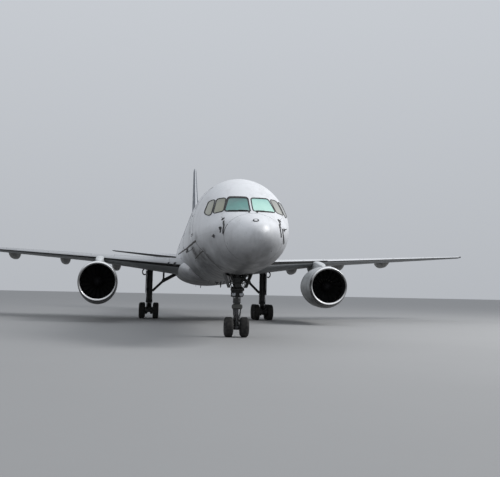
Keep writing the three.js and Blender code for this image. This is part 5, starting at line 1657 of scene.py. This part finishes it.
def wheel_pair(g):
    """Two wheels and their axle, along x about the origin."""
    shape = Shape()
    rim, axle, bolts = g["rim"], g["axle"], g["bolts"]
    inner, outer = g["half_track"] - g["width"] / 2, g["half_track"] + g["width"] / 2
    tyre = [(rim * 0.9, inner + 0.05)] + tyre_profile(g) + [(rim * 0.9, outer - 0.05)]
    face = [(0, 0.045), (0.30, 0.045), (0.34, 0.075), (0.40, 0.10), (0.72, 0.085), (0.86, 0.045),
            (0.95, 0.03), (1.0, 0.045)]
    hub = [(share * rim, outer - depth) for share, depth in face]
    hub += [(0.99 * rim, inner + 0.06), (0.8 * rim, inner + 0.05), (0.8 * rim, inner + 0.12),
            (axle, inner + 0.12), (axle, inner + 0.05), (0, inner + 0.05)]
    cap = [(0.26 * rim, 0), (0.26 * rim, 0.02), (0.2 * rim, 0.034), (0, 0.038)]
    for sign in (1, -1):
        way = Vector((sign, 0, 0))
        shape.join(turned(tyre, direction=way, sides=72), turned(hub, direction=way, mark=1))
        for (hole_c, hole_s), (bolt_c, bolt_s) in zip(circle(bolts, 0.5), circle(bolts)):
            hole = Vector((sign * (outer - 0.093), 0.56 * rim * hole_c, 0.56 * rim * hole_s))
            bolt = Vector((sign * (outer - 0.072), 0.79 * rim * bolt_c, 0.79 * rim * bolt_s))
            shape.bars([(hole, hole + way * 0.006, 0.075 * rim / 0.5, 16, 3),
                        (bolt, bolt + way * 0.022, 0.011, 6, 2)])
        shape.join(turned(cap, (sign * (outer - 0.05), 0, 0), way, 24, mark=2))
    return shape.join(bar((-inner - 0.1, 0, 0), (inner + 0.1, 0, 0), axle, mark=2))


def axle_reach(g):
    return g["half_track"] - g["width"] / 2 + BEARING_DEPTH


def torque_links(x, y, low, high, reach, apex, tip, mark):
    """A pair of hinged plates ahead of or behind a leg, from low and high lugs to an apex."""
    shape = Shape()
    way, wide = 1 if reach > 0 else -1, 0.12
    outline = ((-1, 0.7), (-0.8, 1), (0.8, 1), (1, 0.7), (1, -1), (-1, -1))
    for z in (low, high):
        a, b = Vector((x, y, z)), Vector((x, y + reach, apex))
        along = (b - a).normalized()
        thick = Vector((0, along.z, -along.y)) * 0.022
        rows = []
        for share, width in ((0, wide), (0.25, wide * 0.92), (1, tip)):
            centre = a.lerp(b, share)
            rows.append([centre + Vector((width * across, 0, 0)) + thick * up for across, up in outline])
        shape.join(loft(rows, mark))
        shape.bars([((x - wide * 1.1, y, z), (x + wide * 1.1, y, z), 0.036, 16, mark)])
    end = y + reach
    return shape.bars([((x - tip * 1.3, end, apex), (x + tip * 1.3, end, apex), 0.032, 16, mark),
                       ((x, end + way * 0.045, apex), (x, end - way * 0.03, apex), 0.02, 12, 2)])


GEAR_LOOKS = ["gear", "steel", "chrome", "gear_pale", "seal", "lamp"]
WHEEL_LOOKS = ["rubber", "gear_pale", "steel", "seal"]


def nose_strut(y, axle_z):
    """The steered part below the collar, with a box and lines ahead of it."""
    reach = axle_reach(NOSE_GEAR)
    strut = bar((0, y, axle_z), (0, y, 1.40), 0.080, sides=28, mark=2)
    strut.join(bar((0, y, axle_z - 0.10), (0, y, axle_z + 0.24), 0.115, 0.092, 28))
    low, high = NOSE_LEG["collar"]
    strut.bars([
        ((0, y, low), (0, y, high), 0.150, 36, 0),
        ((0, y, 1.33), (0, y, 1.37), 0.162, 36, 1),
        ((0, y, 1.50), (0, y, 1.75), 0.055, 20, 2),
        ((-reach, y, axle_z), (reach, y, axle_z), 0.088, 28, 0),
    ])
    strut.join(torque_links(0, y + 0.13, axle_z + 0.24, 1.36, 0.22, 0.93, 0.05, 1),
               block(-0.20, 0.20, y - 0.20, y - 0.07, 1.08, 1.27, 3, 0.035),
               block(-0.12, 0.12, y - 0.17, y - 0.07, 1.27, 1.36, 0, 0.015))
    for side in (-1, 1):
        strut.bars([
            ((side * 0.15, y - 0.135, 1.09), (side * 0.07, y - 0.10, 0.74), 0.022, 12, 1),
            ((side * 0.205, y - 0.135, 1.17), (side * 0.185, y - 0.135, 1.17), 0.045, 20, 1),
        ])
        line = ((0.10, -0.10, 1.10), (0.16, -0.16, 0.95), (0.10, -0.12, 0.75), (0.12, -0.07, 0.50))
        strut.join(hose([(side * dx, y + dy, z) for dx, dy, z in line], 0.010))
    return strut.join(block(-0.055, 0.055, y - 0.19, y - 0.04, axle_z - 0.045, axle_z + 0.045, 1))


def nose_lamp(side, y):
    """A taxi lamp beside the leg: its case, then its reflector."""
    spot = (side * 0.145, y - 0.13, NOSE_LEG["lamp"])
    case = [(0.05, 0), (0.085, -0.03), (0.095, -0.09), (0.095, -0.115), (0.082, -0.115), (0.080, -0.09)]
    reflector = [(0.081, -0.06), (0.081, -0.092), (0.05, -0.102), (0, -0.106)]
    return turned(case, spot, AFT, 36, 4).join(turned(reflector, spot, AFT, 36, 5))


def nose_leg(y):
    """The fixed leg with its collars, trunnions, drag brace, boxes, lamps and lines."""
    g = NOSE_LEG
    foot, cross, pin, wide, lamp = g["bottom"], g["cross_bar"], g["trunnion"], g["half_bay"], g["lamp"]
    ahead, brace_y, brace_z = y - 0.115, g["brace_y"], g["brace_z"]
    leg = Shape().bars([
        ((0, y, foot), (0, y, g["top"]), 0.150, 40, 0),
        ((0, y, foot), (0, y, foot + 0.06), 0.172, 40, 0),
        ((0, y, 1.96), (0, y, 2.03), 0.170, 40, 0),
        ((-0.25, ahead, cross), (0.25, ahead, cross), 0.068, 28, 0),
        ((-wide, y, pin), (wide, y, pin), 0.09, 28, 0),
        ((-wide, brace_y, brace_z), (wide, brace_y, brace_z), 0.045, 20, 0),
    ])
    leg.join(block(-0.20, 0.20, y - 0.17, y - 0.02, 2.08, 2.30, 0, 0.02),
             block(-0.12, 0.12, y - 0.21, y - 0.10, 1.92, 2.08, 0, 0.015),
             block(-0.17, 0.17, y - 0.165, y - 0.09, 1.70, 1.78, 4, 0.01))
    for side in (-1, 1):
        leg.bars([
            ((side * 0.06, y - 0.06, 1.96), (side * 0.42, brace_y, brace_z), 0.042, 18, 0),
            ((side * 0.25, ahead, cross), (side * 0.262, ahead, cross), 0.05, 20, 1),
            ((side * 0.19, y + 0.02, 1.55), (side * 0.19, y + 0.02, 1.95), 0.045, 18, 0),
            ((side * 0.17, y - 0.06, 2.28), (side * 0.34, y - 0.10, 2.52), 0.045, 16, 0),
        ])
        leg.join(nose_lamp(side, y))
        for line, radius in (
            (((0.10, -0.14, 2.32), (0.20, -0.20, 2.05), (0.13, -0.19, 1.9), (0.06, -0.17, 1.55)), 0.014),
            (((0.36, -0.1, 2.5), (0.30, -0.16, 2.2), (0.23, -0.17, 1.93)), 0.011),
        ):
            leg.join(hose([(side * dx, y + dy, z) for dx, dy, z in line], radius))
        leg.join(block(side * 0.16, side * 0.26, y - 0.20, y - 0.16, 2.05, 2.085, 3))
    return leg.join(bar((-0.145, y - 0.13, lamp), (0.145, y - 0.13, lamp), 0.034, sides=14))


def nose_door():
    """A bent plate that hangs open beside the leg, with ribs, hinges and a rod to the leg."""
    outline = [(0.507, 2.45), (0.535, 2.45), (0.510, 2.36), (0.330, 1.90), (0.302, 1.90), (0.482, 2.36)]
    door = loft([[Vector((x, y, z)) for x, z in outline] for y in steps(5.20, 6.21, 0.2)])
    outside = (1, 2)
    door.marks = [0 if i % len(outline) in outside else 1 for i in range(len(door.marks) - 2)] + [1, 1]
    return door.bars([
        *[((0.476, y, 2.330), (0.318, y, 1.925), 0.011, 8, 2) for y in (5.36, 5.70, 6.04)],
        *[((0.485, y - 0.05, 2.43), (0.485, y + 0.05, 2.43), 0.022, 12, 2) for y in (5.30, 6.10)],
        ((0.40, 5.62, 2.10), (0.22, 5.70, 2.12), 0.014, 10, 2),
    ])


def build_nose_gear():
    y, axle_z = NOSE_GEAR["y"], NOSE_GEAR["tyre"]
    strut = nose_strut(y, axle_z)
    piece("nose_steering_strut", strut, GEAR_LOOKS, "nose_strut", ["nose_steering"])
    wheels = wheel_pair(NOSE_GEAR).moved(Matrix.Translation((0, y, axle_z)))
    piece("nose_wheels_tyres", wheels, WHEEL_LOOKS, "nose_wheels", ["nose_wheels"])
    fixed_piece("nose_leg_strut", nose_leg(y), GEAR_LOOKS, ["nose_leg"])
    door = nose_door()
    for side, sign in SIDES:
        # The doors' outsides take the near-black painted shade.
        skin_piece(f"nose_gear_door_{side}", door.on_side(sign), ["near_black_shade", "well", "steel"])


def main_leg(x, y, axle_z):
    """The leg with its collars, piston, fork, torque links, retraction rod, hoses and hook."""
    crotch, foot = axle_z + 0.125, MAIN_LEG["bottom"]
    leg = Shape().bars([((x, y, foot), (x, y, MAIN_LEG["top"]), 0.190, 40, 0),
                        ((x, y, foot), (x, y, foot + 0.08), 0.206, 40, 1)])
    leg.bars([((x, y, z), (x, y, z + 0.07), 0.204, 40, 0) for z in MAIN_LEG["bands"]])
    leg.join(bar((x, y, crotch), (x, y, 1.20), 0.130, sides=32, mark=2),
             block(x - 0.15, x + 0.15, y - 0.095, y + 0.095, crotch, crotch + 0.12))
    for side in (-1, 1):
        leg.join(block(x + side * 0.095, x + side * 0.15, y - 0.095, y + 0.095, axle_z - 0.08, crotch + 0.04),
                 block(x + side * 0.12, x + side * 0.21, y - 0.16, y - 0.05, 1.00, 1.16, 0, 0.015))
        for line, radius in (
            (((0.12, -0.19, 2.9), (0.16, -0.21, 2.3), (0.10, -0.22, 1.7), (0.20, -0.24, 1.25),
              (0.15, -0.30, 0.95), (0.16, -0.40, 0.66)), 0.016),
            (((0.05, -0.20, 3.0), (0.07, -0.23, 2.2), (0.04, -0.22, 1.4), (0.12, -0.25, 1.05),
              (0.13, 0.05, 0.75)), 0.012),
        ):
            leg.join(hose([(x + side * dx, y + dy, z) for dx, dy, z in line], radius))
    leg.join(torque_links(x, y - 0.15, crotch + 0.12, MAIN_LEG["links"], -0.20, crotch + 0.36, 0.06, 0))
    leg.bars([((x - 0.05, y - 0.20, 2.05), (x - 0.05, y - 0.20, 2.85), 0.045, 18, 0),
              ((x - 0.05, y - 0.20, 1.75), (x - 0.05, y - 0.20, 2.10), 0.026, 14, 2)])
    hook = ((0.12, -0.22, 3.12), (0.34, -0.36, 3.16), (0.47, -0.36, 3.02), (0.46, -0.36, 2.84),
            (0.34, -0.36, 2.74), (0.27, -0.34, 2.80))
    return leg.join(hose([(x + dx, y + dy, z) for dx, dy, z in hook], 0.040, 0, 12))


def bogie(x, y, axle_z):
    """The beam with its pivot pin, and at both ends an axle tube, brakes with their bolts and a rod."""
    half_base, reach = MAIN_GEAR["half_base"], axle_reach(MAIN_GEAR)
    beam = Shape().bars([((x, y - half_base, axle_z), (x, y + half_base, axle_z), 0.085, 28, 0),
                         ((x - 0.15, y, axle_z), (x + 0.15, y, axle_z), 0.045, 20, 1)])
    for end in (-1, 1):
        at = y + end * half_base
        beam.join(bar((x - reach, at, axle_z), (x + reach, at, axle_z), 0.104, sides=28))
        for side in (-1, 1):
            way = Vector((side, 0, 0))
            x0, x1 = x + side * 0.105, x + side * 0.236
            beam.bars([((x0, at, axle_z), (x1, at, axle_z), 0.215, 36, 0),
                       ((x0 - side * 0.01, at, axle_z), (x0, at, axle_z), 0.17, 32, 1)])
            bolts = [Vector((x0 - side * 0.03, at + 0.13 * c, axle_z + 0.13 * s)) for c, s in circle(8, 0.5)]
            beam.bars([(bolt, bolt + way * 0.04, 0.026, 10, 1) for bolt in bolts])
            rod = x + side * 0.10
            a, b = (rod, at - end * 0.12, axle_z + 0.15), (rod, y + end * 0.13, axle_z + 0.12)
            beam.bars([(a, b, 0.020, 10, 1)])
        beam.join(bar((x, at, axle_z + 0.085), (x, at, axle_z + 0.16), 0.05, sides=16, mark=3))
    line = ((0.05, -0.5, -0.10), (0.07, 0, -0.13), (0.05, 0.5, -0.10))
    return beam.join(hose([(x + dx, y + dy, axle_z + dz) for dx, dy, dz in line], 0.014))


def side_brace(x, y):
    """Two struts with a knee between them, and a rod up from the knee."""
    foot, knee, head = (Vector((x - inward, y, z)) for inward, z in SIDE_BRACE.values())
    brace = Shape().bars([
        (foot, knee, 0.078, 24, 0),
        (knee, head, 0.108, 24, 0),
        ((knee.x, y - 0.09, knee.z), (knee.x, y + 0.09, knee.z), 0.120, 28, 0),
        ((knee.x, y - 0.115, knee.z), (knee.x, y + 0.115, knee.z), 0.05, 20, 1),
        (knee, (knee.x, y, 3.05), 0.060, 20, 0),
        ((knee.x + 0.45, y - 0.10, 2.03), (knee.x - 0.40, y - 0.12, 2.66), 0.022, 12, 1),
    ])
    return brace.join(hose([(x - 0.25, y - 0.10, 1.72), (x - 0.60, y - 0.12, 2.10), (knee.x, y - 0.14, 2.52),
                            (knee.x - 0.5, y - 0.14, 2.80)], 0.012))


def leg_door(x, y):
    """A plate along the leg's outer side, on two arms."""
    near, far = x + 0.222, x + 0.252
    rows = []
    for share in (0.0, 0.04, 0.5, 0.96, 1.0):
        at = y - 0.29 + 0.58 * share
        foot = 1.60 + (0.04 if share in (0.0, 1.0) else 0.0)
        corners = ((near, foot), (far, foot), (far, 3.09), (near, 3.09))
        rows.append([Vector((side, at, z)) for side, z in corners])
    return loft(rows).bars([
        *[((x + 0.193, y, z), (x + 0.230, y, z), 0.035, 20, 1) for z in (1.85, 2.9)],
        *[((x + 0.216, at, 1.7), (x + 0.216, at, 3.0), 0.014, 10, 1) for at in (y - 0.18, y + 0.18)],
    ])


def build_main_gear():
    x, y, axle_z = MAIN_GEAR["x"], MAIN_GEAR["y"], MAIN_GEAR["tyre"]
    pieces = (("main_leg", "strut", main_leg(x, y, axle_z), GEAR_LOOKS, "gear_paint"),
              ("bogie_beam", "frame", bogie(x, y, axle_z), GEAR_LOOKS, "gear_paint"),
              ("side_brace", "links", side_brace(x, y), GEAR_LOOKS, "gear_paint"),
              ("main_gear_door", "skin", leg_door(x, y), ["body", "steel"], "white_paint"))
    wheels = wheel_pair(MAIN_GEAR)
    for side, sign in SIDES:
        for name, kind, shape, looks, slot in pieces:
            node = f"{name}_{side}"
            fixed_piece(f"{node}_{kind}", shape.on_side(sign), looks, [node])
        for end, way in (("front", -1), ("rear", 1)):
            node = f"main_wheels_{end}_{side}"
            seat = Matrix.Translation((sign * x, y + way * MAIN_GEAR["half_base"], axle_z))
            piece(f"{node}_tyres", wheels.moved(seat), WHEEL_LOOKS, node, [node])


# Stage

FLOOR_REACH = 400
SKY = {"colour": (0.86, 0.90, 0.96, 1), "level": 0.54, "high": 0.82, "high_from": 0.9}
LIGHT = {"at": (18, -12, 18), "target": (0, -4, 1), "size": 9, "power": 4300}


def build_floor():
    floor = bpy.data.meshes.new("floor")
    far = FLOOR_REACH
    floor.from_pydata([(-far, -far, 0), (far, -far, 0), (far, far, 0), (-far, far, 0)], [], [(0, 1, 2, 3)])
    floor.materials.append(floor_paint())
    obj = bpy.data.objects.new("floor", floor)
    bpy.context.scene.collection.objects.link(obj)


def build_sky():
    """A plain sky, brighter overhead."""
    world = bpy.data.worlds.new("sky")
    bpy.context.scene.world = world
    world.use_nodes = True
    nodes, links = world.node_tree.nodes, world.node_tree.links
    background = nodes["Background"]
    background.inputs["Color"].default_value = SKY["colour"]
    split = nodes.new("ShaderNodeSeparateXYZ")
    links.new(nodes.new("ShaderNodeTexCoord").outputs["Generated"], split.inputs[0])
    fade = nodes.new("ShaderNodeMapRange")
    for socket, value in zip(fade.inputs[1:5], (0.0, SKY["high_from"], SKY["level"], SKY["high"])):
        socket.default_value = value
    links.new(split.outputs["Z"], fade.inputs[0])
    links.new(fade.outputs[0], background.inputs["Strength"])
    bpy.context.scene.view_settings.view_transform = "Standard"


def build_light():
    lamp = bpy.data.lights.new("overhead", "AREA")
    lamp.size, lamp.energy = LIGHT["size"], LIGHT["power"]
    light = bpy.data.objects.new("overhead", lamp)
    at, target = Vector(LIGHT["at"]), Vector(LIGHT["target"])
    light.location = at
    light.rotation_euler = (target - at).to_track_quat("-Z", "Y").to_euler()
    bpy.context.scene.collection.objects.link(light)


def build_camera():
    yaw, pitch, roll = (math.radians(CAMERA[k]) for k in ("yaw", "pitch", "roll"))
    level = Vector((math.sin(yaw), math.cos(yaw), 0))
    right = Vector((math.cos(yaw), -math.sin(yaw), 0))
    ahead = level * math.cos(pitch) + UP * math.sin(pitch)
    above = UP * math.cos(pitch) - level * math.sin(pitch)
    across = right * math.cos(roll) + above * math.sin(roll)
    above = above * math.cos(roll) - right * math.sin(roll)
    lens = bpy.data.cameras.new("camera")
    lens.sensor_width = 36
    lens.lens = CAMERA["focal_pixels"] / CAMERA["frame_pixels"] * lens.sensor_width
    lens.clip_end = 1000
    camera = bpy.data.objects.new("camera", lens)
    turn = Matrix((across, above, -ahead)).transposed().to_4x4()
    camera.matrix_world = Matrix.Translation(place(*CAMERA["at"])) @ turn
    bpy.context.scene.collection.objects.link(camera)
    bpy.context.scene.camera = camera


build_camera()
build_floor()
build_sky()
build_light()
build_fuselage()
build_cockpit()
build_fuselage_details()
build_belly_fairing()
build_cargo_doors()
build_wings()
build_tail()
build_engines()
build_nose_gear()
build_main_gear()
